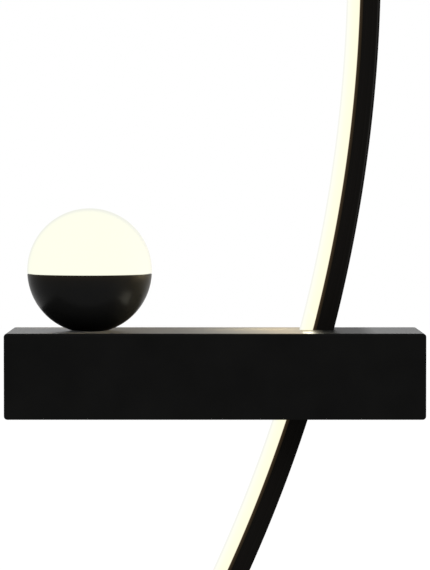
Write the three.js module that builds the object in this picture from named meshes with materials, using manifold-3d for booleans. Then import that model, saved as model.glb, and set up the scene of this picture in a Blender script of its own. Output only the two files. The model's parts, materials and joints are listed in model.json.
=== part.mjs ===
// Wall light: a black folded-steel housing on a wall bracket, a tall bow-shaped light bar that runs
// through the housing, and a globe on top of it whose upper half glows.
// Millimetres. +X is to the right, -Y faces the room and +Z is up.
// The origin lies on the wall plane, behind the middle of the housing.

import * as THREE from 'three';
import { mergeVertices, toCreasedNormals } from 'three/addons/utils/BufferGeometryUtils.js';
import Module from 'manifold-3d';

const wasm = await Module();
wasm.setup();

// Fits and tools shared by all pieces
const seatGap = 0.3;
const overrun = 1;
const joinSink = 0.2;
const weldDistance = 0.0001;
const quarter = Math.PI / 2;
const creaseAngle = Math.PI / 6;

// How finely round shapes are drawn
const globeSides = 32;
const globeRings = 7;
const globeInnerRings = 5;
const rodSides = 12;
const smallSides = 8;
const hexSides = 6;
const bowSteps = 25;
const slotSteps = 3;
const cornerSteps = 2;
const housingCornerSteps = 4;
const leadSides = 8;

// Housing: a box folded from sheet steel, open towards the wall
const housingWidth = 266;
const housingHeight = 54.4;
const housingDepth = 86;
const housingWall = 1.5;
const housingEdgeRadius = 2.2;
const housingFrontRadius = 0.8;
const housingWallClearance = 0.3;

// Bow: the light bar bends about an axis that runs front to back
const bowRadius = 968;
const bowHeight = 900;
const bowMiddleZ = 266.7;
const bowInset = 63.7;

// Light bar: an extruded channel, open towards the middle of the bow
const barDepth = 20;
const barWidth = 13;
const barSetback = 18;
const channelWall = 1.6;
const channelWeb = 3.5;
const channelCornerRadius = 1.5;
const channelLipLength = 2.2;
const channelLipStep = 0.6;
const channelGrooveDepth = 0.5;
const channelGrooveWidth = 1.4;
const channelGrooveSetback = 2.8;
const slotClearance = 0.4;

// Diffuser of the bar, held by hooks in the channel's grooves
const diffuserProud = 8;
const diffuserFace = 1.6;
const diffuserCornerRadius = 3;
const diffuserLegThickness = 1.2;
const diffuserLegLength = 4.6;
const diffuserHookHeight = 0.4;

// Light-emitting tape of the bar
const tapeWidth = 8;
const tapeThickness = 0.5;
const tapeEndInset = 9;
const chipPitch = 30;
const chipLength = 3.5;
const chipWidth = 2.8;
const chipHeight = 0.8;

// End caps of the bar and their screws
const capThickness = 2;
const capPlugLength = 5;
const capPlugThickness = 1.4;
const capScrewSpacing = 10;
const capScrewRadius = 0.8;
const capScrewLength = 9;
const capScrewHeadRadius = 1.6;
const capScrewHeadHeight = 1.1;

// Cleats that hold the bar in the housing
const cleatThickness = 1.5;
const cleatWidth = 14;
const cleatHeight = 18;
const cleatReach = 13;
const cleatScrewDrop = 12;
const cleatScrewRadius = 1.3;
const cleatScrewLength = 3.8;
const cleatStudSetback = 9.5;

// Studs welded inside the housing, and what goes on them
const studRadius = 1.5;
const studLength = 7;
const studClearance = 0.4;
const nutWidth = 5.5;
const nutHeight = 2.4;

// Globe: a black metal bowl below and an opal dome above
const globeInset = 52.5;
const globeSetback = 45;
const globeRadius = 40;
const globeFootRadius = 12;
const globeSplitDrop = 2;
const bowlWall = 1.5;
const bowlSeatRadius = 37.6;
const domeWall = 2;
const domeNeckDepth = 5;
const domeNeckWall = 1.8;

// Plate and light board inside the globe
const plateRadius = 36;
const plateThickness = 2;
const plateDrop = 1.6;
const plateScrewCircle = 32;
const plateScrewCount = 3;
const lugWidth = 8;
const lugHeight = 9;
const lugReach = 4;
const padRadius = 25;
const padThickness = 0.6;
const boardRadius = 27;
const boardThickness = 1.6;
const boardScrewCircle = 23;
const boardScrewRadius = 1.2;
const boardScrewCount = 2;
const boardRingRadii = [9, 17];
const boardRingCounts = [4, 8];
const boardChipSize = 3;

// Small machine screws, size 3
const screwRadius = 1.5;
const screwHeadRadius = 2.6;
const screwHeadHeight = 1.9;
const screwClearance = 0.3;
const plateScrewLength = 8;

// Threaded tube that clamps the globe to the housing
const nippleRadius = 5;
const nippleBore = 3.5;
const nippleClearance = 0.4;
const nippleTopLength = 2;
const nippleBottomLength = 2.6;
const nippleNutWidth = 14;
const nippleNutHeight = 4;
const washerRadius = 9;
const washerThickness = 1;
const washerTeeth = 12;
const washerToothDepth = 1;

// Wall bracket: a steel strip with its ends bent forward
const bracketThickness = 1.5;
const bracketHeight = 40;
const bracketTabDepth = 20;
const bracketTabHeight = 26;
const bracketBendRadius = 3;
const bracketSlotWidth = 5.2;
const bracketSlotLength = 14;
const bracketSlotInset = 31.5;
const bracketInnerSlotSpacing = 90;
const sideScrewSetback = 12;
const sideScrewRadius = 2;
const sideScrewLength = 12;
const sideScrewHeadRadius = 3.8;
const sideScrewHeadHeight = 2.2;
const tabNutRadius = 4.2;
const tabNutBarrel = 2.9;
const tabNutHeight = 4;

// Cable entry in the bracket
const cableHoleInset = 58;
const cableHoleRadius = 10;
const bushingFlange = 2.6;
const bushingFlangeThickness = 1.6;
const bushingWall = 2.4;

// Terminal block on the bracket
const terminalX = -25;
const terminalPitch = 10;
const terminalLength = 18;
const terminalBase = 8;
const terminalHeight = 14;
const terminalTowerRadius = 3.3;
const terminalTowerSpacing = 9.2;
const contactRadius = 2.4;
const contactBore = 1.5;
const contactLength = 16;
const contactHeight = 4.6;
const contactScrewRadius = 1.3;
const contactScrewLength = 7;

// Light driver, on two studs behind the front of the housing
const driverLeftRoom = 20.5;
const driverLength = 104;
const driverHeight = 36;
const driverDepth = 20;
const driverWall = 1.6;
const driverEarLength = 9;
const driverEarHeight = 14;
const driverEarThickness = 2.4;
const driverLidThickness = 2;
const driverLipDepth = 2.5;
const driverPostHeight = 3;
const driverPostRadius = 2;
const driverBoardThickness = 1.6;
const driverBoardMargin = 1.5;
const driverPartHeight = 11;

// Leads inside the housing
const leadRadius = 1.3;
const wireRadius = 0.9;
const leadStepLength = 8;
const leadBend = 6.5;
const wireBend = 5.4;
const wireSpacing = 2.7;
const globeLeadSag = 7.8;
const leadHoleDepth = 6.4;
const leadHoleRadius = 2.4;
const leadHoleZ = -4;
const grommetFlange = 1;
const grommetFlangeThickness = 1;
const grommetWall = 0.5;
const clipLength = 6;
const clipWall = 1.2;

// Earth jumper from the bracket to the housing
const earthInset = 15.5;
const earthStudRise = 14.7;
const earthStudSetback = 32;
const earthStudRadius = 2;
const earthStudLength = 8;
const earthRingRadius = 4.8;
const earthRingThickness = 0.8;
const earthBarrelLength = 6;
const earthBarrelRadius = 1.6;
const earthNutWidth = 7;
const earthNutHeight = 3.2;

// Places that several pieces share
const frontY = -housingDepth;
const innerFrontY = frontY + housingWall;
const innerTopZ = housingHeight / 2 - housingWall;
const innerSideX = housingWidth / 2 - housingWall;
const bowCrossingX = housingWidth / 2 - bowInset;
const bowCenterX = bowCrossingX - Math.sqrt(bowRadius ** 2 - bowMiddleZ ** 2);
const bowHalfAngle = Math.asin(bowHeight / 2 / bowRadius);
const barMiddle = barSetback + barDepth / 2;
const halfDepth = barDepth / 2;
const diffuserHalfDepth = halfDepth - channelLipStep;
const diffuserEdge = barWidth + diffuserProud;
const legOuter = halfDepth - channelWall - seatGap;
const legInner = legOuter - diffuserLegThickness;
const globeX = -housingWidth / 2 + globeInset;
const globeY = -globeSetback;
const globeCenterZ = housingHeight / 2 + seatGap + Math.sqrt(globeRadius ** 2 - globeFootRadius ** 2);
const bowlRimZ = globeCenterZ - globeSplitDrop;
const bowlFloorZ = housingHeight / 2 + seatGap + bowlWall;
const plateTopZ = bowlRimZ - domeNeckDepth - plateDrop;
const boardTopZ = plateTopZ + 2 * seatGap + padThickness + boardThickness;
const nippleHoleRadius = nippleRadius + nippleClearance;
const driverX = globeX + driverLeftRoom + driverLength / 2;
const driverBackY = innerFrontY + seatGap + driverDepth;
const driverLidBackY = driverBackY + seatGap + driverLidThickness;
const driverLeadY = innerFrontY + seatGap + driverDepth / 2;
const driverStudX = driverLength / 2 + driverEarLength / 2;
const tabInnerX = innerSideX - seatGap - bracketThickness;
const bracketSlotX = innerSideX - bracketSlotInset;
const cableHoleX = -housingWidth / 2 + cableHoleInset;
const earthX = -innerSideX + earthInset;
const earthStudZ = -innerTopZ + earthStudRise;
const terminalBackY = -bracketThickness - seatGap;
const contactY = terminalBackY - contactHeight;

// Booleans: closed geometry goes in and closed geometry comes out

function asManifold(geometry) {
  const bare = new THREE.BufferGeometry();
  bare.setAttribute('position', geometry.getAttribute('position'));
  bare.setIndex(geometry.getIndex());
  const merged = mergeVertices(bare, weldDistance);
  const corners = merged.getIndex().array;
  const kept = [];
  for (let i = 0; i < corners.length; i += 3) {
    const [a, b, c] = [corners[i], corners[i + 1], corners[i + 2]];
    if (a !== b && b !== c && c !== a) kept.push(a, b, c);
  }
  const mesh = new wasm.Mesh({
    numProp: 3,
    vertProperties: new Float32Array(merged.getAttribute('position').array),
    triVerts: new Uint32Array(kept),
  });
  return new wasm.Manifold(mesh);
}

function asGeometry(manifold) {
  const mesh = manifold.getMesh();
  const geometry = new THREE.BufferGeometry();
  geometry.setAttribute('position', new THREE.BufferAttribute(mesh.vertProperties, 3));
  geometry.setIndex(new THREE.BufferAttribute(mesh.triVerts, 1));
  return geometry;
}

function join(...pieces) {
  return asGeometry(pieces.map(asManifold).reduce((whole, piece) => whole.add(piece)));
}

function cut(base, ...tools) {
  return asGeometry(tools.map(asManifold).reduce((rest, tool) => rest.subtract(tool), asManifold(base)));
}

function common(first, second) {
  return asGeometry(asManifold(first).intersect(asManifold(second)));
}

// Plain solids

function box([xLow, xHigh], [yLow, yHigh], [zLow, zHigh]) {
  const geometry = new THREE.BoxGeometry(xHigh - xLow, yHigh - yLow, zHigh - zLow);
  return geometry.translate((xLow + xHigh) / 2, (yLow + yHigh) / 2, (zLow + zHigh) / 2);
}

// A closed profile of [radius, height] points turned about the Z axis.
function revolve(profile, sides = rodSides) {
  const points = profile.map(([radius, height]) => new THREE.Vector2(radius, height));
  return new THREE.LatheGeometry(points, sides).rotateX(quarter);
}

function rod(radius, low, high, sides = rodSides) {
  return revolve([[0, low], [radius, low], [radius, high], [0, high]], sides);
}

// A tool for a round hole: its flats lie at the stated radius, so that a rod of that radius fits.
function drill(radius, low, high, sides = rodSides) {
  return rod(radius / Math.cos(2 * quarter / sides), low, high, sides);
}

function tube(radius, bore, low, high, sides = rodSides) {
  return revolve([[bore, low], [radius, low], [radius, high], [bore, high], [bore, low]], sides);
}

// Turning a solid that stands along +Z
const toward = {
  up: (geometry) => geometry,
  down: (geometry) => geometry.rotateX(2 * quarter),
  front: (geometry) => geometry.rotateX(quarter),
  back: (geometry) => geometry.rotateX(-quarter),
  right: (geometry) => geometry.rotateY(quarter),
  left: (geometry) => geometry.rotateY(-quarter),
};

// A flat shape carried along one axis. Its own axes are X and Z, X and Y, or Y and Z.
function extrude(shape, depth) {
  return new THREE.ExtrudeGeometry(shape, { depth, bevelEnabled: false, curveSegments: cornerSteps });
}

function alongY(shape, low, high) {
  return extrude(shape, high - low).rotateX(quarter).translate(0, high, 0);
}

function alongZ(shape, low, high) {
  return extrude(shape, high - low).translate(0, 0, low);
}

function alongX(shape, low, high) {
  const toYZ = new THREE.Matrix4().makeBasis(
    new THREE.Vector3(0, 1, 0),
    new THREE.Vector3(0, 0, 1),
    new THREE.Vector3(1, 0, 0),
  );
  return extrude(shape, high - low).applyMatrix4(toYZ).translate(low, 0, 0);
}

function polygon(points) {
  return new THREE.Shape(points.map(([x, y]) => new THREE.Vector2(x, y)));
}

function roundedRectangle(width, height, radius) {
  const right = width / 2 - radius;
  const top = height / 2 - radius;
  const shape = new THREE.Shape();
  shape.absarc(right, top, radius, 0, quarter);
  shape.absarc(-right, top, radius, quarter, 2 * quarter);
  shape.absarc(-right, -top, radius, 2 * quarter, 3 * quarter);
  shape.absarc(right, -top, radius, 3 * quarter, 4 * quarter);
  return shape;
}

function arc(radius, from, to, steps) {
  const points = [];
  for (let i = 0; i <= steps; i += 1) {
    const angle = from + (to - from) * i / steps;
    points.push([radius * Math.cos(angle), radius * Math.sin(angle)]);
  }
  return points;
}

// Fasteners

// A screw along +Z: the underside of its head is at zero.
function panScrew(radius, length, headRadius, headHeight, sides = smallSides) {
  return revolve([
    [0, -length],
    [radius, -length],
    [radius, 0],
    [headRadius, 0],
    [headRadius, headHeight],
    [0, headHeight],
  ], sides);
}

// The cross-shaped recess of a screw whose head shows: half width, half length and depth as shares.
function crossRecess(headRadius, headHeight) {
  const [widthShare, lengthShare, depthShare] = [0.14, 0.6, 0.5];
  const [width, length] = [headRadius * widthShare, headRadius * lengthShare];
  const height = [headHeight * depthShare, headHeight + overrun];
  const across = box([-length, length], [-width, width], height);
  const upright = box([-width, width], [-length, length], height);
  return join(across, upright);
}

// A hexagonal nut that stands on zero.
function hexNut(width, bore, height) {
  const corner = width / 2 / Math.cos(2 * quarter / hexSides);
  const blank = revolve([[0, 0], [corner, 0], [corner, height], [0, height]], hexSides);
  return cut(blank, drill(bore, -overrun, height + overrun, smallSides));
}

// Copies of a solid, evenly spaced on a circle about the Z axis.
function ring(make, circle, count, startAngle = 0) {
  const pieces = [];
  for (let i = 0; i < count; i += 1) {
    const angle = startAngle + i * 4 * quarter / count;
    pieces.push(make().translate(circle, 0, 0).rotateZ(angle));
  }
  return pieces;
}

// Leads: a round section carried along a smooth curve through hand-picked places

function lead(radius, places) {
  const points = places.map((place) => new THREE.Vector3(...place));
  const route = new THREE.CatmullRomCurve3(points, false, 'centripetal');
  const section = polygon(arc(radius, 0, 4 * quarter, leadSides).slice(1));
  const steps = Math.ceil(route.getLength() / leadStepLength);
  return new THREE.ExtrudeGeometry(section, { steps, bevelEnabled: false, extrudePath: route });
}

// The bow

class BowArc extends THREE.Curve {
  constructor(low, high) {
    super();
    this.low = low;
    this.high = high;
  }

  getPoint(share, target = new THREE.Vector3()) {
    const angle = this.low + (this.high - this.low) * share;
    const x = bowCenterX + bowRadius * Math.cos(angle);
    return target.set(x, 0, bowMiddleZ + bowRadius * Math.sin(angle));
  }
}

// A section drawn as [forward from the wall, outward from the bow's outer face] and carried along it.
function bowSweep(shape, low, high, steps) {
  const extrudePath = new BowArc(low, high);
  return new THREE.ExtrudeGeometry(shape, { steps, bevelEnabled: false, extrudePath });
}

// Puts a small solid on the bow: its X points forward, its Y outward and its Z along the bow.
function onBow(geometry, angle) {
  const outward = new THREE.Vector3(Math.cos(angle), 0, Math.sin(angle));
  const along = new THREE.Vector3(-Math.sin(angle), 0, Math.cos(angle));
  const placing = new THREE.Matrix4().makeBasis(new THREE.Vector3(0, -1, 0), outward, along);
  placing.setPosition(bowCenterX + bowRadius * outward.x, 0, bowMiddleZ + bowRadius * outward.z);
  return geometry.applyMatrix4(placing);
}

// The X of the face that lies a given depth inside the bow's outer face, at a given height.
function bowX(height, depth) {
  return bowCenterX + Math.sqrt((bowRadius - depth) ** 2 - (height - bowMiddleZ) ** 2);
}

// A section that is the same in front of and behind the bar's middle, drawn from its front half.
function mirroredSection(frontHalf) {
  const front = frontHalf.map(([forward, inward]) => [barMiddle + forward, -inward]);
  const back = frontHalf.map(([forward, inward]) => [barMiddle - forward, -inward]);
  return polygon([...front, ...back.reverse()]);
}

// A quarter-round corner of a front half, from the face at one depth to the side.
function corner(forward, inward, radius, from, to) {
  return arc(radius, from, to, cornerSteps).map(([x, y]) => [forward + x, inward - y]);
}

function channelSection() {
  const grooveNear = barWidth - channelGrooveSetback;
  const grooveFar = grooveNear - channelGrooveWidth;
  const wallInner = halfDepth - channelWall;
  const lipStart = barWidth - channelLipLength;
  const radius = channelCornerRadius;
  return mirroredSection([
    ...corner(halfDepth - radius, radius, radius, quarter, 0),
    [halfDepth, lipStart],
    [diffuserHalfDepth, lipStart],
    [diffuserHalfDepth, barWidth],
    [wallInner, barWidth],
    [wallInner, grooveNear],
    [wallInner + channelGrooveDepth, grooveNear],
    [wallInner + channelGrooveDepth, grooveFar],
    [wallInner, grooveFar],
    [wallInner, channelWeb],
  ]);
}

function diffuserSection() {
  const shoulder = barWidth + seatGap;
  const legEnd = barWidth - diffuserLegLength;
  const hookMargin = (channelGrooveWidth - diffuserHookHeight) / 4;
  const hookNear = barWidth - channelGrooveSetback - hookMargin;
  const hookFar = barWidth - channelGrooveSetback - channelGrooveWidth + hookMargin;
  const cornerForward = diffuserHalfDepth - diffuserCornerRadius;
  const cornerInward = diffuserEdge - diffuserCornerRadius;
  return mirroredSection([
    [legInner, diffuserEdge - diffuserFace],
    [legInner, legEnd],
    [legOuter, legEnd],
    [legOuter, hookFar],
    [legOuter + diffuserHookHeight, hookFar],
    [legOuter + diffuserHookHeight, hookNear],
    [legOuter, hookNear],
    [legOuter, shoulder],
    [diffuserHalfDepth, shoulder],
    ...corner(cornerForward, cornerInward, diffuserCornerRadius, 0, -quarter),
  ]);
}

// The outline of channel and diffuser together, grown by a margin.
function barOutline(margin) {
  const side = halfDepth + margin;
  const cornerForward = diffuserHalfDepth - diffuserCornerRadius;
  const cornerInward = diffuserEdge - diffuserCornerRadius;
  const webRadius = channelCornerRadius + margin;
  return mirroredSection([
    ...corner(side - webRadius, channelCornerRadius, webRadius, quarter, 0),
    [side, barWidth - channelLipLength + margin],
    [diffuserHalfDepth + margin, barWidth - channelLipLength + margin],
    ...corner(cornerForward, cornerInward, diffuserCornerRadius + margin, 0, -quarter),
  ]);
}

// Light bar

function barChannel() {
  const channel = bowSweep(channelSection(), -bowHalfAngle, bowHalfAngle, bowSteps);
  const holes = [leadHole()];
  for (const side of [1, -1]) {
    holes.push(cleatScrewHole(side));
    for (const place of capScrewPlaces()) {
      const hole = drill(capScrewRadius + screwClearance, -capScrewLength, overrun, smallSides);
      holes.push(onBowEnd(hole, side, place));
    }
  }
  return cut(channel, join(...holes));
}

function barDiffuser() {
  return bowSweep(diffuserSection(), -bowHalfAngle, bowHalfAngle, bowSteps);
}

function barTape() {
  const near = channelWeb + seatGap;
  const far = near + tapeThickness;
  const endAngle = bowHalfAngle - tapeEndInset / bowRadius;
  const section = mirroredSection([[tapeWidth / 2, near], [tapeWidth / 2, far]]);
  const strip = bowSweep(section, -endAngle, endAngle, bowSteps);
  const across = [barMiddle - chipWidth / 2, barMiddle + chipWidth / 2];
  const outward = [-far - chipHeight, -far + joinSink];
  const along = [-chipLength / 2, chipLength / 2];
  const chipCount = Math.floor(2 * endAngle * bowRadius / chipPitch);
  const chips = [];
  for (let i = 0; i < chipCount; i += 1) {
    const angle = (i - (chipCount - 1) / 2) * chipPitch / bowRadius;
    chips.push(onBow(box(across, outward, along), angle));
  }
  return join(strip, ...chips);
}

// Places a solid at an end of the bar, with zero on the cut end of the channel.
function onBowEnd(geometry, side, [forward, inward]) {
  const turned = side > 0 ? geometry : toward.down(geometry);
  return onBow(turned.translate(forward, -inward, 0), side * bowHalfAngle);
}

function capScrewPlaces() {
  return [-1, 1].map((which) => [barMiddle + which * capScrewSpacing / 2, channelWeb / 2]);
}

function barEndCap(side) {
  const near = bowHalfAngle + seatGap / bowRadius;
  const far = near + capThickness / bowRadius;
  const plugStart = bowHalfAngle - capPlugLength / bowRadius;
  const plugEnd = near + joinSink / bowRadius;
  const plugSide = legInner - seatGap;
  const plugNear = channelWeb + seatGap;
  const plugFar = diffuserEdge - diffuserFace - seatGap;
  const plugOuter = mirroredSection([[plugSide, plugNear], [plugSide, plugFar]]);
  const hollowSide = plugSide - capPlugThickness;
  const [hollowNear, hollowFar] = [plugNear + capPlugThickness, plugFar - capPlugThickness];
  const hollow = mirroredSection([[hollowSide, hollowNear], [hollowSide, hollowFar]]);
  const order = (a, b) => (side > 0 ? [a, b] : [-b, -a]);
  const face = bowSweep(barOutline(0), ...order(near, far), 1);
  const plug = bowSweep(plugOuter, ...order(plugStart, plugEnd), 1);
  const pocket = bowSweep(hollow, ...order(plugStart - overrun / bowRadius, near), 1);
  const holes = capScrewPlaces().map((place) => {
    const hole = drill(capScrewRadius + screwClearance, -overrun, capThickness + overrun, smallSides);
    return onBowEnd(hole, side, place);
  });
  return cut(join(face, plug), pocket, join(...holes));
}

function barEndScrews() {
  const screws = [];
  for (const side of [1, -1]) {
    for (const place of capScrewPlaces()) {
      const length = capScrewLength - seatGap;
      const screw = panScrew(capScrewRadius, length, capScrewHeadRadius, capScrewHeadHeight);
      screws.push(onBowEnd(screw.translate(0, 0, capThickness + 2 * seatGap), side, place));
    }
  }
  return screws;
}

function leadHole() {
  const x = bowX(leadHoleZ, leadHoleDepth);
  const reach = [-barSetback - barDepth - overrun, -barSetback - barDepth + channelWall + overrun];
  return toward.front(drill(leadHoleRadius, -reach[1], -reach[0])).translate(x, 0, leadHoleZ);
}

function barLeadGrommet() {
  const barrel = leadHoleRadius - seatGap;
  const bore = barrel - grommetWall;
  const front = barSetback + barDepth + seatGap;
  const back = front - channelWall - seatGap;
  const flange = leadHoleRadius + grommetFlange;
  const body = revolve([
    [bore, back],
    [barrel, back],
    [barrel, front],
    [flange, front],
    [flange, front + grommetFlangeThickness],
    [bore, front + grommetFlangeThickness],
    [bore, back],
  ], smallSides);
  return toward.front(body).translate(bowX(leadHoleZ, leadHoleDepth), 0, leadHoleZ);
}

// Cleats: folded angles, one under the housing's top and one on its bottom, screwed to the bar

function cleatX(side) {
  return bowX(side * (innerTopZ - seatGap - cleatScrewDrop), barWidth / 2);
}

function cleatScrewZ(side) {
  return side * (innerTopZ - seatGap - cleatScrewDrop);
}

function cleatScrewHole(side) {
  const [low, high] = [barSetback - overrun, barSetback + channelWall + overrun];
  const hole = drill(cleatScrewRadius + screwClearance, low, high, smallSides);
  return toward.front(hole).translate(cleatX(side), 0, cleatScrewZ(side));
}

function barCleat(side) {
  const frontFace = -barSetback + seatGap;
  const seat = innerTopZ - seatGap;
  const leg = frontFace + cleatThickness;
  const bend = cleatThickness;
  const profile = polygon([
    [frontFace, side * (seat - cleatHeight)],
    [leg, side * (seat - cleatHeight)],
    [leg, side * (seat - cleatThickness - bend)],
    [leg + bend, side * (seat - cleatThickness)],
    [frontFace + cleatReach, side * (seat - cleatThickness)],
    [frontFace + cleatReach, side * seat],
    [frontFace + bend, side * seat],
    [frontFace, side * (seat - bend)],
  ]);
  const angle = alongX(profile, -cleatWidth / 2, cleatWidth / 2).translate(cleatX(side), 0, 0);
  const studHole = drill(studRadius + studClearance, -overrun, cleatThickness + overrun, smallSides);
  const studPlace = [cleatX(side), -cleatStudSetback, 0];
  const stud = side > 0 ? studHole.translate(0, 0, seat - cleatThickness) : studHole.translate(0, 0, -seat);
  const screwHole = toward.front(
    drill(cleatScrewRadius + screwClearance, -leg - overrun, -frontFace + overrun, smallSides),
  );
  return cut(angle, stud.translate(...studPlace), screwHole.translate(cleatX(side), 0, cleatScrewZ(side)));
}

function cleatScrews() {
  const headFace = -barSetback + 2 * seatGap + cleatThickness;
  return [1, -1].map((side) => (
    toward.back(panScrew(cleatScrewRadius, cleatScrewLength, screwHeadRadius, screwHeadHeight))
      .translate(cleatX(side), headFace, cleatScrewZ(side))
  ));
}

function cleatNuts() {
  const seat = innerTopZ - 2 * seatGap - cleatThickness;
  return [1, -1].map((side) => {
    const nut = hexNut(nutWidth, studRadius + screwClearance, nutHeight);
    const low = side > 0 ? seat - nutHeight : -seat;
    return nut.translate(cleatX(side), -cleatStudSetback, low);
  });
}

// Housing

function housingShell() {
  const outline = roundedRectangle(housingWidth, housingHeight, housingEdgeRadius);
  const shell = new THREE.ExtrudeGeometry(outline, {
    depth: housingDepth - 2 * housingFrontRadius + overrun,
    bevelEnabled: true,
    bevelThickness: housingFrontRadius,
    bevelSize: housingFrontRadius,
    bevelOffset: -housingFrontRadius,
    bevelSegments: 2,
    curveSegments: housingCornerSteps,
  });
  shell.rotateX(quarter).translate(0, overrun - housingFrontRadius, 0);
  const innerWidth = housingWidth - 2 * housingWall;
  const innerHeight = housingHeight - 2 * housingWall;
  const pocket = roundedRectangle(innerWidth, innerHeight, housingEdgeRadius - housingWall);
  const hollow = alongY(pocket, innerFrontY, 2 * overrun);
  const wallSide = [-housingWallClearance, 2 * overrun];
  const [sideways, upright] = [housingWidth / 2 + overrun, housingHeight / 2 + overrun];
  const trim = box([-sideways, sideways], wallSide, [-upright, upright]);
  return cut(shell, hollow, trim);
}

function slotTool() {
  const reach = housingHeight / 2 + overrun;
  const radii = [bowRadius, bowRadius - diffuserEdge];
  const anglesAt = (height) => radii.map((radius) => Math.asin((height - bowMiddleZ) / radius));
  const [low, high] = [Math.min(...anglesAt(-reach)), Math.max(...anglesAt(reach))];
  return bowSweep(barOutline(slotClearance), low, high, slotSteps);
}

function housing() {
  const screwHole = drill(sideScrewRadius + screwClearance, -overrun, housingWall + overrun);
  const sideHoles = [1, -1].map((side) => {
    const hole = toward.right(screwHole.clone());
    const inner = side > 0 ? innerSideX : -innerSideX - housingWall;
    return hole.translate(inner, -sideScrewSetback, 0);
  });
  const nippleHole = drill(nippleHoleRadius, innerTopZ - overrun, innerTopZ + housingWall + overrun);
  const shell = cut(housingShell(), slotTool(), nippleHole.translate(globeX, globeY, 0), ...sideHoles);
  const studs = [];
  for (const side of [1, -1]) {
    const driverStud = rod(studRadius, -innerFrontY - studLength, -innerFrontY + joinSink, smallSides);
    studs.push(toward.front(driverStud).translate(driverX + side * driverStudX, 0, 0));
    const low = side > 0 ? innerTopZ - studLength : -innerTopZ - joinSink;
    const cleatStud = rod(studRadius, low, low + studLength + joinSink, smallSides);
    studs.push(cleatStud.translate(cleatX(side), -cleatStudSetback, 0));
  }
  const earthStud = rod(earthStudRadius, -innerTopZ - joinSink, -innerTopZ + earthStudLength, smallSides);
  studs.push(earthStud.translate(earthX, -earthStudSetback, 0));
  return join(shell, ...studs);
}

// Wall bracket

function bracketStrip() {
  const half = innerSideX - seatGap;
  const inner = half - bracketThickness;
  const bend = bracketBendRadius;
  const innerBend = bend - bracketThickness;
  const outerTurn = arc(bend, 0, quarter, cornerSteps);
  const innerTurn = arc(innerBend, quarter, 0, cornerSteps);
  const right = [
    [half, -bracketTabDepth],
    ...outerTurn.map(([x, y]) => [half - bend + x, -bend + y]),
  ];
  const rightInner = [
    ...innerTurn.map(([x, y]) => [inner - innerBend + x, -bend + y]),
    [inner, -bracketTabDepth],
  ];
  const left = right.map(([x, y]) => [-x, y]).reverse();
  const leftInner = rightInner.map(([x, y]) => [-x, y]).reverse();
  const outline = polygon([...right, ...left, ...leftInner, ...rightInner]);
  return alongZ(outline, -bracketHeight / 2, bracketHeight / 2);
}

function bracketSlot(x, isUpright) {
  const size = [bracketSlotLength, bracketSlotWidth];
  const [width, height] = isUpright ? size.reverse() : size;
  const shape = roundedRectangle(width, height, bracketSlotWidth / 2);
  return alongY(shape, -bracketThickness - overrun, overrun).translate(x, 0, 0);
}

function wallBracket() {
  const half = innerSideX;
  const tools = [];
  for (const side of [1, -1]) {
    tools.push(bracketSlot(side * bracketSlotX, false));
    tools.push(bracketSlot(side * bracketInnerSlotSpacing / 2, true));
    const outwards = side > 0 ? toward.right : toward.left;
    const nutHole = drill(tabNutBarrel + seatGap, tabInnerX - overrun, half + overrun);
    tools.push(outwards(nutHole).translate(0, -sideScrewSetback, 0));
    const [near, far] = [half - bracketBendRadius - overrun, half + overrun];
    const beside = side > 0 ? [near, far] : [-far, -near];
    const before = [-bracketTabDepth - overrun, -bracketBendRadius];
    tools.push(box(beside, before, [bracketTabHeight / 2, bracketHeight / 2 + overrun]));
    tools.push(box(beside, before, [-bracketHeight / 2 - overrun, -bracketTabHeight / 2]));
  }
  const cableHole = drill(cableHoleRadius, -overrun, bracketThickness + overrun, globeSides / 2);
  tools.push(toward.front(cableHole).translate(cableHoleX, 0, 0));
  const blockHole = drill(screwRadius + screwClearance, -overrun, bracketThickness + overrun, smallSides);
  tools.push(toward.front(blockHole).translate(terminalX, 0, 0));
  const studTip = bracketThickness + earthStudLength;
  const stud = rod(earthStudRadius, bracketThickness - joinSink, studTip, smallSides);
  const strip = cut(bracketStrip(), ...tools);
  return join(strip, toward.front(stud).translate(earthX, 0, earthStudZ));
}

function tabNuts() {
  const face = tabInnerX - seatGap;
  const bore = sideScrewRadius + screwClearance;
  const profile = [
    [bore, face - tabNutHeight],
    [tabNutRadius, face - tabNutHeight],
    [tabNutRadius, face],
    [tabNutBarrel, face],
    [tabNutBarrel, face + seatGap + bracketThickness],
    [bore, face + seatGap + bracketThickness],
    [bore, face - tabNutHeight],
  ];
  return ['right', 'left'].map((way) => (
    toward[way](revolve(profile, rodSides)).translate(0, -sideScrewSetback, 0)
  ));
}

function sideScrews() {
  const face = housingWidth / 2 + seatGap;
  return ['right', 'left'].map((way) => {
    const head = [sideScrewHeadRadius, sideScrewHeadHeight];
    const blank = panScrew(sideScrewRadius, sideScrewLength, ...head, rodSides);
    const screw = cut(blank, crossRecess(...head));
    return toward[way](screw.translate(0, 0, face)).translate(0, -sideScrewSetback, 0);
  });
}

function cableBushing() {
  const barrel = cableHoleRadius - seatGap;
  const bore = barrel - bushingWall;
  const flange = cableHoleRadius + bushingFlange;
  const front = bracketThickness + seatGap;
  const profile = [
    [bore, seatGap],
    [barrel, seatGap],
    [barrel, front],
    [flange, front],
    [flange, front + bushingFlangeThickness],
    [bore, front + bushingFlangeThickness],
    [bore, seatGap],
  ];
  return toward.front(revolve(profile, globeSides / 2)).translate(cableHoleX, 0, 0);
}

// Terminal block: a moulded base with two tubes, each reached by two screws in towers

function terminalPoles() {
  return [-terminalPitch / 2, terminalPitch / 2];
}

function terminalTowers() {
  return terminalPoles().flatMap((x) => (
    [-terminalTowerSpacing / 2, terminalTowerSpacing / 2].map((z) => [x, z])
  ));
}

function atTerminal(geometry) {
  return geometry.translate(terminalX, terminalBackY, 0);
}

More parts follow.
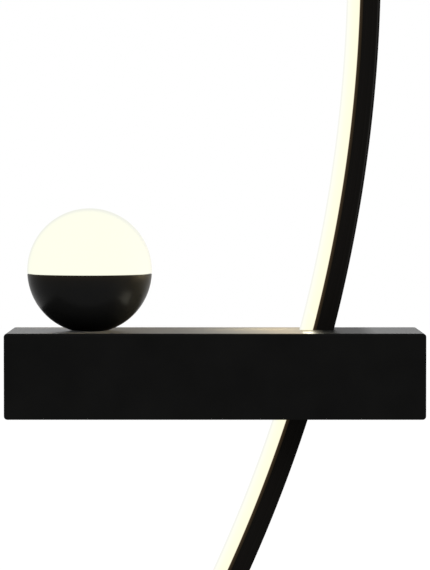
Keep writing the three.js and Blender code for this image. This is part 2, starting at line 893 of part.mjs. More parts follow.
// The wells that the clamp screws stand in, from the middle of the contacts to a given height.
function clampWells(top) {
  return terminalTowers().map(([x, z]) => {
    const well = drill(contactScrewRadius + screwClearance, contactHeight, top, smallSides);
    return toward.front(well).translate(x, 0, z);
  });
}

function terminalBody() {
  const half = terminalPitch;
  const base = box([-half, half], [-terminalBase, 0], [-terminalLength / 2, terminalLength / 2]);
  const towers = terminalTowers().map(([x, z]) => {
    const tower = rod(terminalTowerRadius, terminalBase - joinSink, terminalHeight, smallSides);
    return toward.front(tower).translate(x, 0, z);
  });
  const reach = terminalLength / 2 + overrun;
  const bores = terminalPoles().map((x) => (
    drill(contactRadius + seatGap, -reach, reach, smallSides).translate(x, -contactHeight, 0)
  ));
  const fixing = drill(screwRadius + screwClearance, -overrun, terminalBase + overrun, smallSides);
  const wells = clampWells(terminalHeight + overrun);
  return atTerminal(cut(join(base, ...towers), join(...wells), join(...bores), toward.front(fixing)));
}

function terminalContacts() {
  const half = contactLength / 2;
  const holes = join(...clampWells(terminalHeight));
  return terminalPoles().map((x) => {
    const contact = tube(contactRadius, contactBore, -half, half, smallSides);
    return atTerminal(cut(contact.translate(x, -contactHeight, 0), holes));
  });
}

function terminalScrews() {
  const tip = contactHeight + contactBore;
  return terminalTowers().map(([x, z]) => {
    const screw = rod(contactScrewRadius, tip, tip + contactScrewLength, smallSides);
    return atTerminal(toward.front(screw).translate(x, 0, z));
  });
}

function terminalFixing() {
  const headShare = 0.9;
  const seat = terminalBase + seatGap;
  const screw = panScrew(screwRadius, seat + bracketThickness, screwHeadRadius * headShare, screwHeadHeight);
  return atTerminal(toward.front(screw.translate(0, 0, seat)));
}

// Light driver

function driverCase() {
  const base = -innerFrontY - seatGap;
  const half = driverLength / 2;
  const shell = alongY(roundedRectangle(driverLength, driverHeight, driverWall), -base, driverBackY);
  const [roomLength, roomHeight] = [driverLength - 2 * driverWall, driverHeight - 2 * driverWall];
  const pocketShape = roundedRectangle(roomLength, roomHeight, driverWall / 2);
  const pocket = alongY(pocketShape, -base + driverWall, driverBackY + overrun);
  const earSpan = driverLength + 2 * driverEarLength;
  const earShape = roundedRectangle(earSpan, driverEarHeight, driverEarHeight / 4);
  const ears = alongY(earShape, -base, -base + driverEarThickness);
  const tools = [pocket];
  for (const side of [1, -1]) {
    const [low, high] = [base - driverEarThickness - overrun, base + overrun];
    const earHole = drill(studRadius + studClearance, low, high, smallSides);
    tools.push(toward.front(earHole).translate(side * driverStudX, 0, 0));
    for (const z of driverLeadHeights()) {
      const exit = toward.right(drill(driverExitRadius(side), -driverWall - overrun, overrun, smallSides));
      tools.push(exit.translate(side * half + (side > 0 ? 0 : driverWall), driverLeadY, z));
    }
  }
  const posts = driverPosts().map(([x, z]) => (
    toward.front(rod(driverPostRadius, base - driverWall - driverPostHeight, base - joinSink, smallSides))
      .translate(x, 0, z)
  ));
  return join(cut(join(shell, ears), ...tools), ...posts).translate(driverX, 0, 0);
}

// The two mains wires enter at the right end, the two light leads leave at the left end.
function driverLeadHeights() {
  const heightShare = 0.22;
  return [heightShare * driverHeight, -heightShare * driverHeight];
}

function driverExitRadius(side) {
  return (side > 0 ? wireRadius : leadRadius) + 2 * seatGap;
}

function driverPosts() {
  const inset = driverWall + driverPostRadius - joinSink;
  const [x, z] = [driverLength / 2 - inset, driverHeight / 2 - inset];
  return [[x, z], [-x, z], [-x, -z], [x, -z]];
}

function driverLid() {
  const outline = roundedRectangle(driverLength, driverHeight, driverWall);
  const cover = alongY(outline, driverBackY + seatGap, driverLidBackY);
  const lipWidth = driverLength - 2 * driverWall - 2 * seatGap;
  const lipHeight = driverHeight - 2 * driverWall - 2 * seatGap;
  const lipOuter = roundedRectangle(lipWidth, lipHeight, driverWall / 2);
  const lipInner = roundedRectangle(lipWidth - 2 * driverWall, lipHeight - 2 * driverWall, driverWall / 2);
  const lip = alongY(lipOuter, driverBackY - driverLipDepth, driverBackY + seatGap + joinSink);
  const room = alongY(lipInner, driverBackY - driverLipDepth - overrun, driverBackY + seatGap);
  return cut(join(cover, lip), room).translate(driverX, 0, 0);
}

function driverBoard() {
  const back = innerFrontY + seatGap + driverWall + driverPostHeight + seatGap;
  const face = back + driverBoardThickness;
  const margin = driverWall + driverBoardMargin;
  const board = roundedRectangle(driverLength - 2 * margin, driverHeight - 2 * margin, driverWall / 2);
  const seat = face - joinSink;
  const top = face + driverPartHeight - driverPostHeight;
  const spanX = driverLength / 2 - margin;
  const spanZ = driverHeight / 2 - margin;
  const transformerShares = [[-0.05, 0.4], [-0.8, 0.75]];
  const filterShares = [[-0.45, -0.15], [-0.2, 0.7]];
  const bridgeShares = [[0.5, 0.62], [0.1, 0.8]];
  const blocks = [transformerShares, filterShares, bridgeShares].map(([across, up], i) => {
    const [width, height] = [across.map((share) => share * spanX), up.map((share) => share * spanZ)];
    return box(width, [seat, top - i * driverWall], height);
  });
  const capacitorShares = [[0.8, -0.35, 0.4], [-0.72, 0.1, 0.33], [-0.35, -0.6, 0.22]];
  const cans = capacitorShares.map(([across, up, size]) => (
    toward.front(rod(size * spanZ, -top, -seat, smallSides)).translate(across * spanX, 0, up * spanZ)
  ));
  return join(alongY(board, back, face), ...blocks, ...cans).translate(driverX, 0, 0);
}

function driverNuts() {
  const seat = innerFrontY + 2 * seatGap + driverEarThickness;
  return [1, -1].map((side) => {
    const nut = hexNut(nutWidth, studRadius + screwClearance, nutHeight);
    return toward.back(nut).translate(driverX + side * driverStudX, seat, 0);
  });
}

// Globe

function globeBowl() {
  const innerRadius = globeRadius - bowlWall;
  const footZ = -Math.sqrt(globeRadius ** 2 - globeFootRadius ** 2);
  const floorZ = footZ + bowlWall;
  const outerStart = Math.atan2(footZ, globeFootRadius);
  const outerEnd = -Math.asin(globeSplitDrop / globeRadius);
  const innerStart = -Math.acos(bowlSeatRadius / innerRadius);
  const innerEnd = Math.asin(floorZ / innerRadius);
  const shell = revolve([
    [nippleHoleRadius, footZ],
    ...arc(globeRadius, outerStart, outerEnd, globeRings),
    [bowlSeatRadius, -globeSplitDrop],
    ...arc(innerRadius, innerStart, innerEnd, globeInnerRings),
    [nippleHoleRadius, floorZ],
    [nippleHoleRadius, footZ],
  ], globeSides);
  const lugTop = plateTopZ - plateThickness - seatGap - globeCenterZ;
  const lug = () => box(
    [-lugReach, globeRadius - plateScrewCircle],
    [-lugWidth / 2, lugWidth / 2],
    [lugTop - lugHeight, lugTop],
  );
  const blocks = join(...ring(lug, plateScrewCircle, plateScrewCount));
  const lugs = common(blocks, ball(globeRadius - bowlWall / 2));
  const holeRadius = screwRadius + screwClearance;
  const hole = () => drill(holeRadius, lugTop - plateScrewLength, lugTop + overrun, smallSides);
  return atGlobe(cut(join(shell, lugs), ...ring(hole, plateScrewCircle, plateScrewCount)));
}

function ball(radius) {
  return revolve(arc(radius, -quarter, quarter, globeRings), globeSides);
}

function atGlobe(geometry) {
  return geometry.translate(globeX, globeY, globeCenterZ);
}

function atGlobeAxis(geometry) {
  return geometry.translate(globeX, globeY, 0);
}

function globeDome() {
  const innerRadius = globeRadius - domeWall;
  const neckOuter = bowlSeatRadius - seatGap;
  const neckInner = neckOuter - domeNeckWall;
  const shoulder = -globeSplitDrop + seatGap;
  const neckEnd = -globeSplitDrop - domeNeckDepth;
  const innerEnd = Math.acos(neckInner / innerRadius);
  const outerStart = Math.asin(shoulder / globeRadius);
  return atGlobe(revolve([
    ...arc(innerRadius, quarter, innerEnd, globeInnerRings),
    [neckInner, neckEnd],
    [neckOuter, neckEnd],
    [neckOuter, shoulder],
    ...arc(globeRadius, outerStart, quarter, globeRings),
  ], globeSides));
}

function leadThroughHole(low, high) {
  return drill(leadRadius + 2 * seatGap, low - overrun, high + overrun, smallSides);
}

// Holes for the light board's screws, through a layer between two heights.
function boardScrewHoles(low, high) {
  const holeRadius = boardScrewRadius + screwClearance;
  const hole = () => drill(holeRadius, low - overrun, high + overrun, smallSides);
  return join(...ring(hole, boardScrewCircle, boardScrewCount, quarter));
}

function globePlate() {
  const [low, high] = [plateTopZ - plateThickness, plateTopZ];
  const disc = rod(plateRadius, low, high, globeSides);
  const holeRadius = screwRadius + screwClearance;
  const hole = () => drill(holeRadius, low - overrun, high + overrun, smallSides);
  return atGlobeAxis(cut(
    disc,
    ...ring(hole, plateScrewCircle, plateScrewCount),
    boardScrewHoles(low, high),
    leadThroughHole(low, high),
  ));
}

function globePad() {
  const low = plateTopZ + seatGap;
  const high = low + padThickness;
  const disc = rod(padRadius, low, high, globeSides / 2);
  return atGlobeAxis(cut(disc, boardScrewHoles(low, high), leadThroughHole(low, high)));
}

function globeBoard() {
  const low = boardTopZ - boardThickness;
  const blank = rod(boardRadius, low, boardTopZ, globeSides);
  const disc = cut(blank, boardScrewHoles(low, boardTopZ), leadThroughHole(low, boardTopZ));
  const half = boardChipSize / 2;
  const chip = () => box([-half, half], [-half, half], [boardTopZ - joinSink, boardTopZ + chipHeight]);
  const chips = boardRingRadii.flatMap((radius, i) => ring(chip, radius, boardRingCounts[i]));
  return atGlobeAxis(join(disc, ...chips));
}

function plateScrews() {
  const recess = crossRecess(screwHeadRadius, screwHeadHeight);
  const screw = cut(panScrew(screwRadius, plateScrewLength, screwHeadRadius, screwHeadHeight), recess);
  const make = () => screw.clone().translate(0, 0, plateTopZ + seatGap);
  return ring(make, plateScrewCircle, plateScrewCount).map(atGlobeAxis);
}

function boardScrews() {
  const length = boardThickness + padThickness + plateThickness + 2 * seatGap;
  const headShare = 0.8;
  const head = [screwHeadRadius * headShare, screwHeadHeight * headShare];
  const make = () => panScrew(boardScrewRadius, length, ...head).translate(0, 0, boardTopZ + seatGap);
  return ring(make, boardScrewCircle, boardScrewCount, quarter).map(atGlobeAxis);
}

function nippleEnds() {
  const top = bowlFloorZ + seatGap + nippleNutHeight + nippleTopLength;
  const bottom = innerTopZ - 2 * seatGap - washerThickness - nippleNutHeight - nippleBottomLength;
  return [bottom, top];
}

function globeNipple() {
  return atGlobeAxis(tube(nippleRadius, nippleBore, ...nippleEnds()));
}

function nippleNut(low) {
  return atGlobeAxis(hexNut(nippleNutWidth, nippleRadius + seatGap, nippleNutHeight).translate(0, 0, low));
}

function globeWasher() {
  const points = [];
  for (let i = 0; i < 2 * washerTeeth; i += 1) {
    const radius = washerRadius - (i % 2) * washerToothDepth;
    const angle = i * Math.PI / washerTeeth;
    points.push([radius * Math.cos(angle), radius * Math.sin(angle)]);
  }
  const high = innerTopZ - seatGap;
  const disc = alongZ(polygon(points), high - washerThickness, high);
  const hole = drill(nippleHoleRadius, high - washerThickness - overrun, high + overrun);
  return atGlobeAxis(cut(disc, hole));
}

// Leads and wires

function globeLead() {
  const [bottom] = nippleEnds();
  const entry = driverX - driverLength / 2;
  const high = driverLeadHeights()[0];
  return lead(leadRadius, [
    [globeX, globeY, boardTopZ + leadRadius],
    [globeX, globeY, bowlFloorZ],
    [globeX, globeY, bottom],
    [globeX, globeY - leadBend / 2, bottom - globeLeadSag],
    [globeX + leadBend / 2, driverLeadY + leadBend, high - leadRadius],
    [entry - leadBend, driverLeadY, high],
    [entry, driverLeadY, high],
    [entry + leadBend, driverLeadY, high],
  ]);
}

function barLeadZ() {
  return driverLeadHeights()[1];
}

function barLeadBackY() {
  return driverLidBackY + 2 * seatGap + clipWall + leadRadius;
}

// Where the bar's lead runs straight along the driver's lid: its start and its end.
function barLeadRun() {
  const start = bowX(leadHoleZ, leadHoleDepth) - 3 * leadBend;
  const end = driverX - driverLength / 2 + leadBend / 2;
  return [start, end];
}

function barLead() {
  const x = bowX(leadHoleZ, leadHoleDepth);
  const barFront = -barSetback - barDepth;
  const entry = driverX - driverLength / 2;
  const [start, end] = barLeadRun();
  const away = leadBend;
  const [backY, z] = [barLeadBackY(), barLeadZ()];
  const [swingShare, loopShare] = [1.6, 1.7];
  return lead(leadRadius, [
    [x, barFront + channelWall + 2 * leadRadius, leadHoleZ],
    [x, barFront, leadHoleZ],
    [x, barFront - away / 2, leadHoleZ],
    [x - away, barFront - swingShare * away, (leadHoleZ + z) / 2],
    [start, backY, z],
    [clipPlaces()[0], backY, z],
    [clipPlaces()[1], backY, z],
    [end, backY, z],
    [entry - away, backY - away / 3, z],
    [entry - loopShare * away, (backY + driverLeadY) / 2, z],
    [entry - away, driverLeadY + away / 3, z],
    [entry - away / 3, driverLeadY, z],
    [entry + away / 3, driverLeadY, z],
    [entry + away, driverLeadY, z],
  ]);
}

function clipPlaces() {
  const clipShares = [0.25, 0.75];
  const [start, end] = barLeadRun();
  return clipShares.map((share) => start + (end - start) * share);
}

// Stick-on clips that hold the bar's lead to the driver's lid.
function leadClips() {
  const back = driverLidBackY + seatGap;
  const bore = leadRadius + seatGap;
  const top = barLeadBackY() + bore + clipWall;
  const half = bore + 2 * clipWall;
  const outline = polygon([
    [back, -half],
    [back + clipWall / 2, -half],
    [top - clipWall, -bore - clipWall / 2],
    [top, -bore / 2],
    [top, bore / 2],
    [top - clipWall, bore + clipWall / 2],
    [back + clipWall / 2, half],
    [back, half],
  ]);
  return clipPlaces().map((x) => {
    const block = alongX(outline, -clipLength / 2, clipLength / 2);
    const hole = toward.right(drill(bore, -clipLength, clipLength, smallSides));
    return cut(block, hole.translate(0, barLeadBackY(), 0)).translate(x, 0, barLeadZ());
  });
}

function mainsWires() {
  const exit = driverX + driverLength / 2;
  const [away, bend] = [leadBend, wireBend];
  const high = terminalLength / 2 + bend;
  return [0, 1].map((which) => {
    const x = terminalX + terminalPoles()[1 - which];
    const z = driverLeadHeights()[which];
    const apart = which * wireSpacing;
    return lead(wireRadius, [
      [exit - away, driverLeadY, z],
      [exit, driverLeadY, z],
      [exit + away / 2, driverLeadY, z],
      [exit + away + apart, driverLeadY + away + apart, z + bend / 2],
      [exit + apart, driverLidBackY + 2 * away + apart, high - bend / 2 + apart],
      [driverX, driverLidBackY + 3 * away + apart, high + apart],
      [x + 2 * bend, contactY - bend, high + apart],
      [x, contactY, high + apart - bend / 2],
      [x, contactY, terminalLength / 2 - bend],
    ]);
  });
}

function earthLead() {
  const ringY = bracketThickness + seatGap;
  const ringLow = -innerTopZ + seatGap;
  const ringHole = earthStudRadius + screwClearance;
  const shoulder = earthRingRadius - joinSink;
  const eye = () => tube(earthRingRadius, ringHole, 0, earthRingThickness, smallSides);
  const barrel = (low) => rod(earthBarrelRadius, low, low + earthBarrelLength, leadSides);
  const bracketEye = toward.front(eye()).translate(earthX, -ringY, earthStudZ);
  const bracketBarrel = toward.down(barrel(shoulder))
    .translate(earthX, -ringY - earthBarrelRadius, earthStudZ);
  const housingEye = eye().translate(earthX, -earthStudSetback, ringLow);
  const housingBarrel = toward.back(barrel(shoulder))
    .translate(earthX, -earthStudSetback, ringLow + earthBarrelRadius);
  const reach = shoulder + earthBarrelLength;
  const [startZ, endY] = [earthStudZ - reach, -earthStudSetback + reach];
  const wireZ = ringLow + earthBarrelRadius;
  const wire = lead(wireRadius, [
    [earthX, -ringY - earthBarrelRadius, startZ + earthBarrelRadius],
    [earthX, -ringY - earthBarrelRadius - joinSink, startZ],
    [earthX, (endY - ringY) / 2, (startZ + wireZ) / 2],
    [earthX, endY, wireZ],
    [earthX, endY - earthBarrelRadius, wireZ],
  ]);
  return join(bracketEye, bracketBarrel, housingEye, housingBarrel, wire);
}

function earthNuts() {
  const nut = () => hexNut(earthNutWidth, earthStudRadius + screwClearance, earthNutHeight);
  const rise = 2 * seatGap + earthRingThickness;
  return [
    toward.front(nut()).translate(earthX, -bracketThickness - rise, earthStudZ),
    nut().translate(earthX, -earthStudSetback, -innerTopZ + rise),
  ];
}

// Finishes

const finishes = {
  blackPaint: { color: 0x151515, roughness: 0.42, metalness: 0.1 },
  blackAnodised: { color: 0x161413, roughness: 0.38, metalness: 0.35 },
  blackPlastic: { color: 0x141414, roughness: 0.5, metalness: 0 },
  opal: { color: 0xfffbe6, roughness: 0.35, metalness: 0, emissive: 0xfff4d0, emissiveIntensity: 0.6 },
  zinc: { color: 0xb4b8ba, roughness: 0.4, metalness: 0.8 },
  aluminium: { color: 0xc9cbcd, roughness: 0.45, metalness: 0.8 },
  brass: { color: 0xc3a354, roughness: 0.35, metalness: 0.85 },
  whitePlastic: { color: 0xe9e9e4, roughness: 0.5, metalness: 0 },
  whiteBoard: { color: 0xf1f1ec, roughness: 0.55, metalness: 0 },
  greenBoard: { color: 0x2f6b45, roughness: 0.5, metalness: 0 },
  rubber: { color: 0x1b1b1b, roughness: 0.85, metalness: 0 },
  padSilicone: { color: 0x8fa3b5, roughness: 0.8, metalness: 0 },
  leadJacket: { color: 0xe4e2dc, roughness: 0.6, metalness: 0 },
  earthJacket: { color: 0x6f9a34, roughness: 0.6, metalness: 0 },
};

const light = new THREE.Group();
light.name = 'wall_light';

function addPiece(name, geometry, finish) {
  const closed = toCreasedNormals(asGeometry(asManifold(geometry)), creaseAngle);
  const mesh = new THREE.Mesh(closed, new THREE.MeshStandardMaterial(finishes[finish]));
  mesh.name = name;
  light.add(mesh);
}

// Like pieces: the name of each ends in its label.
function addPieces(name, labels, geometries, finish) {
  geometries.forEach((geometry, i) => addPiece(`${name}_${labels[i]}`, geometry, finish));
}

addPiece('housing', housing(), 'blackPaint');
addPieces('housing_side_screw', ['right', 'left'], sideScrews(), 'blackPaint');

addPiece('wall_bracket', wallBracket(), 'zinc');
addPieces('bracket_tab_nut', ['right', 'left'], tabNuts(), 'zinc');
addPiece('cable_bushing', cableBushing(), 'rubber');
addPiece('terminal_block', terminalBody(), 'whitePlastic');
addPieces('terminal_contact', ['left', 'right'], terminalContacts(), 'brass');
addPieces('terminal_clamp_screw', [1, 2, 3, 4], terminalScrews(), 'zinc');
addPiece('terminal_fixing_screw', terminalFixing(), 'zinc');

addPiece('driver_case', driverCase(), 'whitePlastic');
addPiece('driver_lid', driverLid(), 'whitePlastic');
addPiece('driver_board', driverBoard(), 'greenBoard');
addPieces('driver_nut', ['right', 'left'], driverNuts(), 'zinc');

addPiece('bar_channel', barChannel(), 'blackAnodised');
addPiece('bar_diffuser', barDiffuser(), 'opal');
addPiece('bar_led_tape', barTape(), 'whiteBoard');
addPiece('bar_end_cap_top', barEndCap(1), 'blackPlastic');
addPiece('bar_end_cap_bottom', barEndCap(-1), 'blackPlastic');
const capScrewLabels = ['top_rear', 'top_front', 'bottom_rear', 'bottom_front'];
addPieces('bar_end_cap_screw', capScrewLabels, barEndScrews(), 'blackAnodised');
addPieces('bar_cleat', ['upper', 'lower'], [1, -1].map(barCleat), 'zinc');
addPieces('bar_cleat_screw', ['upper', 'lower'], cleatScrews(), 'zinc');
addPieces('bar_cleat_nut', ['upper', 'lower'], cleatNuts(), 'zinc');
addPiece('bar_lead_grommet', barLeadGrommet(), 'rubber');

addPiece('globe_bowl', globeBowl(), 'blackPaint');
addPiece('globe_dome', globeDome(), 'opal');
addPiece('globe_led_plate', globePlate(), 'aluminium');
addPiece('globe_thermal_pad', globePad(), 'padSilicone');
addPiece('globe_led_board', globeBoard(), 'whiteBoard');
addPieces('globe_plate_screw', [1, 2, 3], plateScrews(), 'zinc');
addPieces('globe_board_screw', [1, 2], boardScrews(), 'zinc');
addPiece('globe_nipple', globeNipple(), 'zinc');
addPiece('globe_bowl_nut', nippleNut(bowlFloorZ + seatGap), 'zinc');
addPiece('globe_lock_washer', globeWasher(), 'zinc');
addPiece('globe_lock_nut', nippleNut(nippleEnds()[0] + nippleBottomLength), 'zinc');

addPiece('globe_lead', globeLead(), 'leadJacket');
addPiece('bar_lead', barLead(), 'leadJacket');
addPieces('bar_lead_clip', ['right', 'left'], leadClips(), 'whitePlastic');
addPieces('driver_mains_wire', ['upper', 'lower'], mainsWires(), 'leadJacket');
addPiece('earth_lead', earthLead(), 'earthJacket');
addPieces('earth_nut', ['bracket', 'housing'], earthNuts(), 'zinc');

export default light;
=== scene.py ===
# Wall light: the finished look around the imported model. Metres, +X right, -Y to the room, +Z up.

import json
import math

import bmesh
import bpy
from mathutils import Matrix, Quaternion, Vector

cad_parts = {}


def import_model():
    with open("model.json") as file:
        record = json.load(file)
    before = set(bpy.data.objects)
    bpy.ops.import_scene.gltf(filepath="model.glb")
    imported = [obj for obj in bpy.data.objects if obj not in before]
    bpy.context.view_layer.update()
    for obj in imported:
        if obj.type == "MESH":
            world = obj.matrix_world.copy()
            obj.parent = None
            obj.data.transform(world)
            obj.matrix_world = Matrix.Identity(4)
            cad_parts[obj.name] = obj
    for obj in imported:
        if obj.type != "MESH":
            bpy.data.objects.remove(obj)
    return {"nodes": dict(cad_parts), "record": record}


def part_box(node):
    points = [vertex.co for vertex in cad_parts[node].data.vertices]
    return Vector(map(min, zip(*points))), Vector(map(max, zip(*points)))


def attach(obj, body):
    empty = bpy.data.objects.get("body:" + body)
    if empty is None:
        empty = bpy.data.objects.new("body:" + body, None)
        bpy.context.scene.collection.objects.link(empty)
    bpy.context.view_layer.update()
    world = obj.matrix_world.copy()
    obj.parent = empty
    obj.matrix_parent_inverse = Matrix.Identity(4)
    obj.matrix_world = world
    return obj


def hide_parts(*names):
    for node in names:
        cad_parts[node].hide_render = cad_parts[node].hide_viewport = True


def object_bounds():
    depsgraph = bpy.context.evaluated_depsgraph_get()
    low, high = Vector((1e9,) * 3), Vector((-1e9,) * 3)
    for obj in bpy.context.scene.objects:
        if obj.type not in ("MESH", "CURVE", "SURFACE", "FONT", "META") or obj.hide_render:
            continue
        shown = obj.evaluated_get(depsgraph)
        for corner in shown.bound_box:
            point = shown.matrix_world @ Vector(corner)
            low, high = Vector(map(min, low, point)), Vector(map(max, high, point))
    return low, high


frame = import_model()
cad_low, cad_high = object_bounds()

MM = 0.001
QUARTER = math.pi / 2
SMOOTH_ANGLE = math.radians(32)

# The gap of seats and screws, how far a cutter overruns, how deep a joined solid is sunk, and fine edges
GAP = 0.3 * MM
PAST = 1 * MM
SINK = 0.2 * MM
EDGE = 0.25 * MM

# Facet counts
GLOBE_SEGMENTS = 128
GLOBE_STEPS = 40
ROD_SEGMENTS = 32
WELL_SEGMENTS = 30
CABLE_HOLE_SEGMENTS = 64
BOW_SEGMENTS = 180
CORNER_STEPS = 6
THREAD_ROWS = 4
ROUTE_STEPS = 10
LEAD_ROUNDING = 5

# Housing
HOUSING_WALL = 1.5 * MM
HOUSING_EDGE = 2.2 * MM
HOUSING_FRONT_EDGE = 0.8 * MM
STUD_RADIUS = 1.5 * MM
STUD_LENGTH = 7 * MM
STUD_HOLE = 1.9 * MM
SIDE_SCREW_SETBACK = 12 * MM
SIDE_SCREW_RADIUS = 2 * MM
SIDE_SCREW_HEAD = (3.8 * MM, 2.2 * MM)

# Bow and light bar
BOW_RADIUS = 968 * MM
BOW_HEIGHT = 900 * MM
BOW_MIDDLE_Z = 266.7 * MM
BOW_CROSSING_X = 69.3 * MM
BAR_DEPTH = 20 * MM
BAR_WIDTH = 13 * MM
BAR_SETBACK = 18 * MM
CHANNEL_WALL = 1.6 * MM
CHANNEL_WEB = 3.5 * MM
CHANNEL_CORNER = 1.5 * MM
CHANNEL_LIP_LENGTH = 2.2 * MM
CHANNEL_LIP_STEP = 0.6 * MM
GROOVE_DEPTH = 0.5 * MM
GROOVE_WIDTH = 1.4 * MM
GROOVE_SETBACK = 2.8 * MM
SLOT_CLEARANCE = 0.4 * MM
DIFFUSER_PROUD = 8 * MM
DIFFUSER_FACE = 1.6 * MM
DIFFUSER_CORNER = 3 * MM
DIFFUSER_LEG = 1.2 * MM
DIFFUSER_LEG_LENGTH = 4.6 * MM
DIFFUSER_HOOK = 0.4 * MM

# Light tape, end caps and cleats of the bar
TAPE_WIDTH = 8 * MM
TAPE_THICKNESS = 0.5 * MM
TAPE_END_INSET = 9 * MM
CHIP_PITCH = 30 * MM
CHIP_LENGTH = 3.5 * MM
CHIP_WIDTH = 2.8 * MM
CHIP_HEIGHT = 0.8 * MM
CAP_THICKNESS = 2 * MM
CAP_PLUG_LENGTH = 5 * MM
CAP_PLUG_WALL = 1.4 * MM
CAP_SCREW_SPACING = 10 * MM
CAP_SCREW_RADIUS = 0.8 * MM
CAP_SCREW_LENGTH = 9 * MM
CAP_SCREW_HEAD = (1.6 * MM, 1.1 * MM)
CLEAT_SHEET = 1.5 * MM
CLEAT_SCREW_RADIUS = 1.3 * MM

# Globe
GLOBE_X = -80.5 * MM
GLOBE_SETBACK = 45 * MM
GLOBE_RADIUS = 40 * MM
GLOBE_FOOT = 12 * MM
GLOBE_SPLIT = 2 * MM
BOWL_WALL = 1.5 * MM
BOWL_SEAT = 37.6 * MM
DOME_WALL = 2 * MM
DOME_NECK_DEPTH = 5 * MM
DOME_NECK_WALL = 1.8 * MM
PLATE_THICKNESS = 2 * MM
PLATE_SCREW_CIRCLE = 32 * MM
PLATE_SCREW_LENGTH = 8 * MM
LUG_WIDTH = 8 * MM
LUG_HEIGHT = 9 * MM
LUG_REACH = 4 * MM
BOARD_SCREW_CIRCLE = 23 * MM
BOARD_SCREW_RADIUS = 1.2 * MM
BOARD_SCREW_HEAD = (2.08 * MM, 1.52 * MM)
BOARD_RINGS = ((9 * MM, 4), (17 * MM, 8))
BOARD_CHIP = 3 * MM
NIPPLE_RADIUS = 5 * MM
NIPPLE_BORE = 3.5 * MM
NIPPLE_HOLE = 5.4 * MM
NIPPLE_NUT_WIDTH = 14 * MM
WASHER_TEETH = 12
WASHER_TOOTH = 1 * MM

# Machine screws, size 3
SCREW_RADIUS = 1.5 * MM
SCREW_HEAD = (2.6 * MM, 1.9 * MM)
NUT_WIDTH = 5.5 * MM

# Wall bracket and cable entry
BRACKET_SHEET = 1.5 * MM
BRACKET_TAB_DEPTH = 20 * MM
BRACKET_TAB_HEIGHT = 26 * MM
BRACKET_BEND = 3 * MM
BRACKET_SLOT = (14 * MM, 5.2 * MM)
BRACKET_SLOT_X = 100 * MM
BOX_SLOT_X = 45 * MM
TAB_NUT_FLANGE = 4.2 * MM
TAB_NUT_BARREL = 2.9 * MM
TAB_NUT_HEIGHT = 4 * MM
CABLE_HOLE = 10 * MM
BUSHING_FLANGE = 2.6 * MM
BUSHING_FLANGE_THICKNESS = 1.6 * MM
BUSHING_WALL = 2.4 * MM
EARTH_STUD_RADIUS = 2 * MM
EARTH_STUD_LENGTH = 8 * MM
EARTH_NUT_WIDTH = 7 * MM

# Terminal block
TERMINAL_BASE = 8 * MM
TERMINAL_TOWER = 3.3 * MM
TERMINAL_TOWER_SPACING = 9.2 * MM
TERMINAL_PITCH = 10 * MM
TERMINAL_WAIST = 1.2 * MM
CONTACT_RADIUS = 2.4 * MM
CONTACT_BORE = 1.5 * MM
CONTACT_LENGTH = 16 * MM
CONTACT_HEIGHT = 4.6 * MM
CONTACT_SCREW_RADIUS = 1.3 * MM
FIXING_HEAD = (2.34 * MM, 1.9 * MM)

# Driver
DRIVER_WALL = 1.6 * MM
DRIVER_EAR = (9 * MM, 14 * MM, 2.4 * MM)
DRIVER_LID = 2 * MM
DRIVER_POST_HEIGHT = 3 * MM
DRIVER_POST_RADIUS = 2 * MM
DRIVER_BOARD = 1.6 * MM
DRIVER_BOARD_MARGIN = 1.5 * MM
DRIVER_LEAD_SHARE = 0.22

# Leads
LEAD_RADIUS = 1.3 * MM
WIRE_RADIUS = 0.9 * MM
LEAD_BEND = 6.5 * MM
WIRE_BEND = 5.4 * MM
WIRE_SPACING = 2.7 * MM
GLOBE_LEAD_SAG = 7.8 * MM
LEAD_HOLE_RADIUS = 2.4 * MM
GROMMET_FLANGE = 1 * MM
GROMMET_WALL = 0.5 * MM
CLIP_WALL = 1.2 * MM
EARTH_RING_RADIUS = 4.8 * MM
EARTH_RING_THICKNESS = 0.8 * MM
EARTH_BARREL_LENGTH = 6 * MM
EARTH_BARREL_RADIUS = 1.6 * MM


def centre(node):
    low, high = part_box(node)
    return (low + high) / 2


# Shared places
BOX_LOW, BOX_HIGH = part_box("housing")
INNER_FRONT = BOX_LOW.y + HOUSING_WALL
INNER_TOP = BOX_HIGH.z - HOUSING_WALL
INNER_SIDE = BOX_HIGH.x - HOUSING_WALL
BOW_CENTRE_X = BOW_CROSSING_X - math.sqrt(BOW_RADIUS ** 2 - BOW_MIDDLE_Z ** 2)
BOW_HALF_ANGLE = math.asin(BOW_HEIGHT / 2 / BOW_RADIUS)
BAR_MIDDLE = BAR_SETBACK + BAR_DEPTH / 2
HALF_DEPTH = BAR_DEPTH / 2
DIFFUSER_HALF = HALF_DEPTH - CHANNEL_LIP_STEP
DIFFUSER_EDGE = BAR_WIDTH + DIFFUSER_PROUD
LEG_OUTER = HALF_DEPTH - CHANNEL_WALL - GAP
LEG_INNER = LEG_OUTER - DIFFUSER_LEG
FOOT_DROP = math.sqrt(GLOBE_RADIUS ** 2 - GLOBE_FOOT ** 2)
GLOBE_CENTRE = Vector((GLOBE_X, -GLOBE_SETBACK, BOX_HIGH.z + GAP + FOOT_DROP))
GLOBE_AXIS = Vector((GLOBE_X, -GLOBE_SETBACK, 0))
PLATE_TOP_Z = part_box("globe_led_plate")[1].z
BOARD_TOP_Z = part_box("globe_led_board")[1].z - CHIP_HEIGHT
LEAD_HOLE = centre("bar_lead_grommet")
EARTH_STUD = centre("earth_nut_bracket")
HOUSING_EARTH = centre("earth_nut_housing")
TERMINAL = centre("terminal_block")
TERMINAL_LOW, TERMINAL_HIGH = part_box("terminal_block")
CONTACT_Y = TERMINAL_HIGH.y - CONTACT_HEIGHT
DRIVER_LOW, DRIVER_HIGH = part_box("driver_lid")
DRIVER_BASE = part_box("driver_case")[0].y
DRIVER_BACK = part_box("driver_case")[1].y
DRIVER_X = centre("driver_lid").x
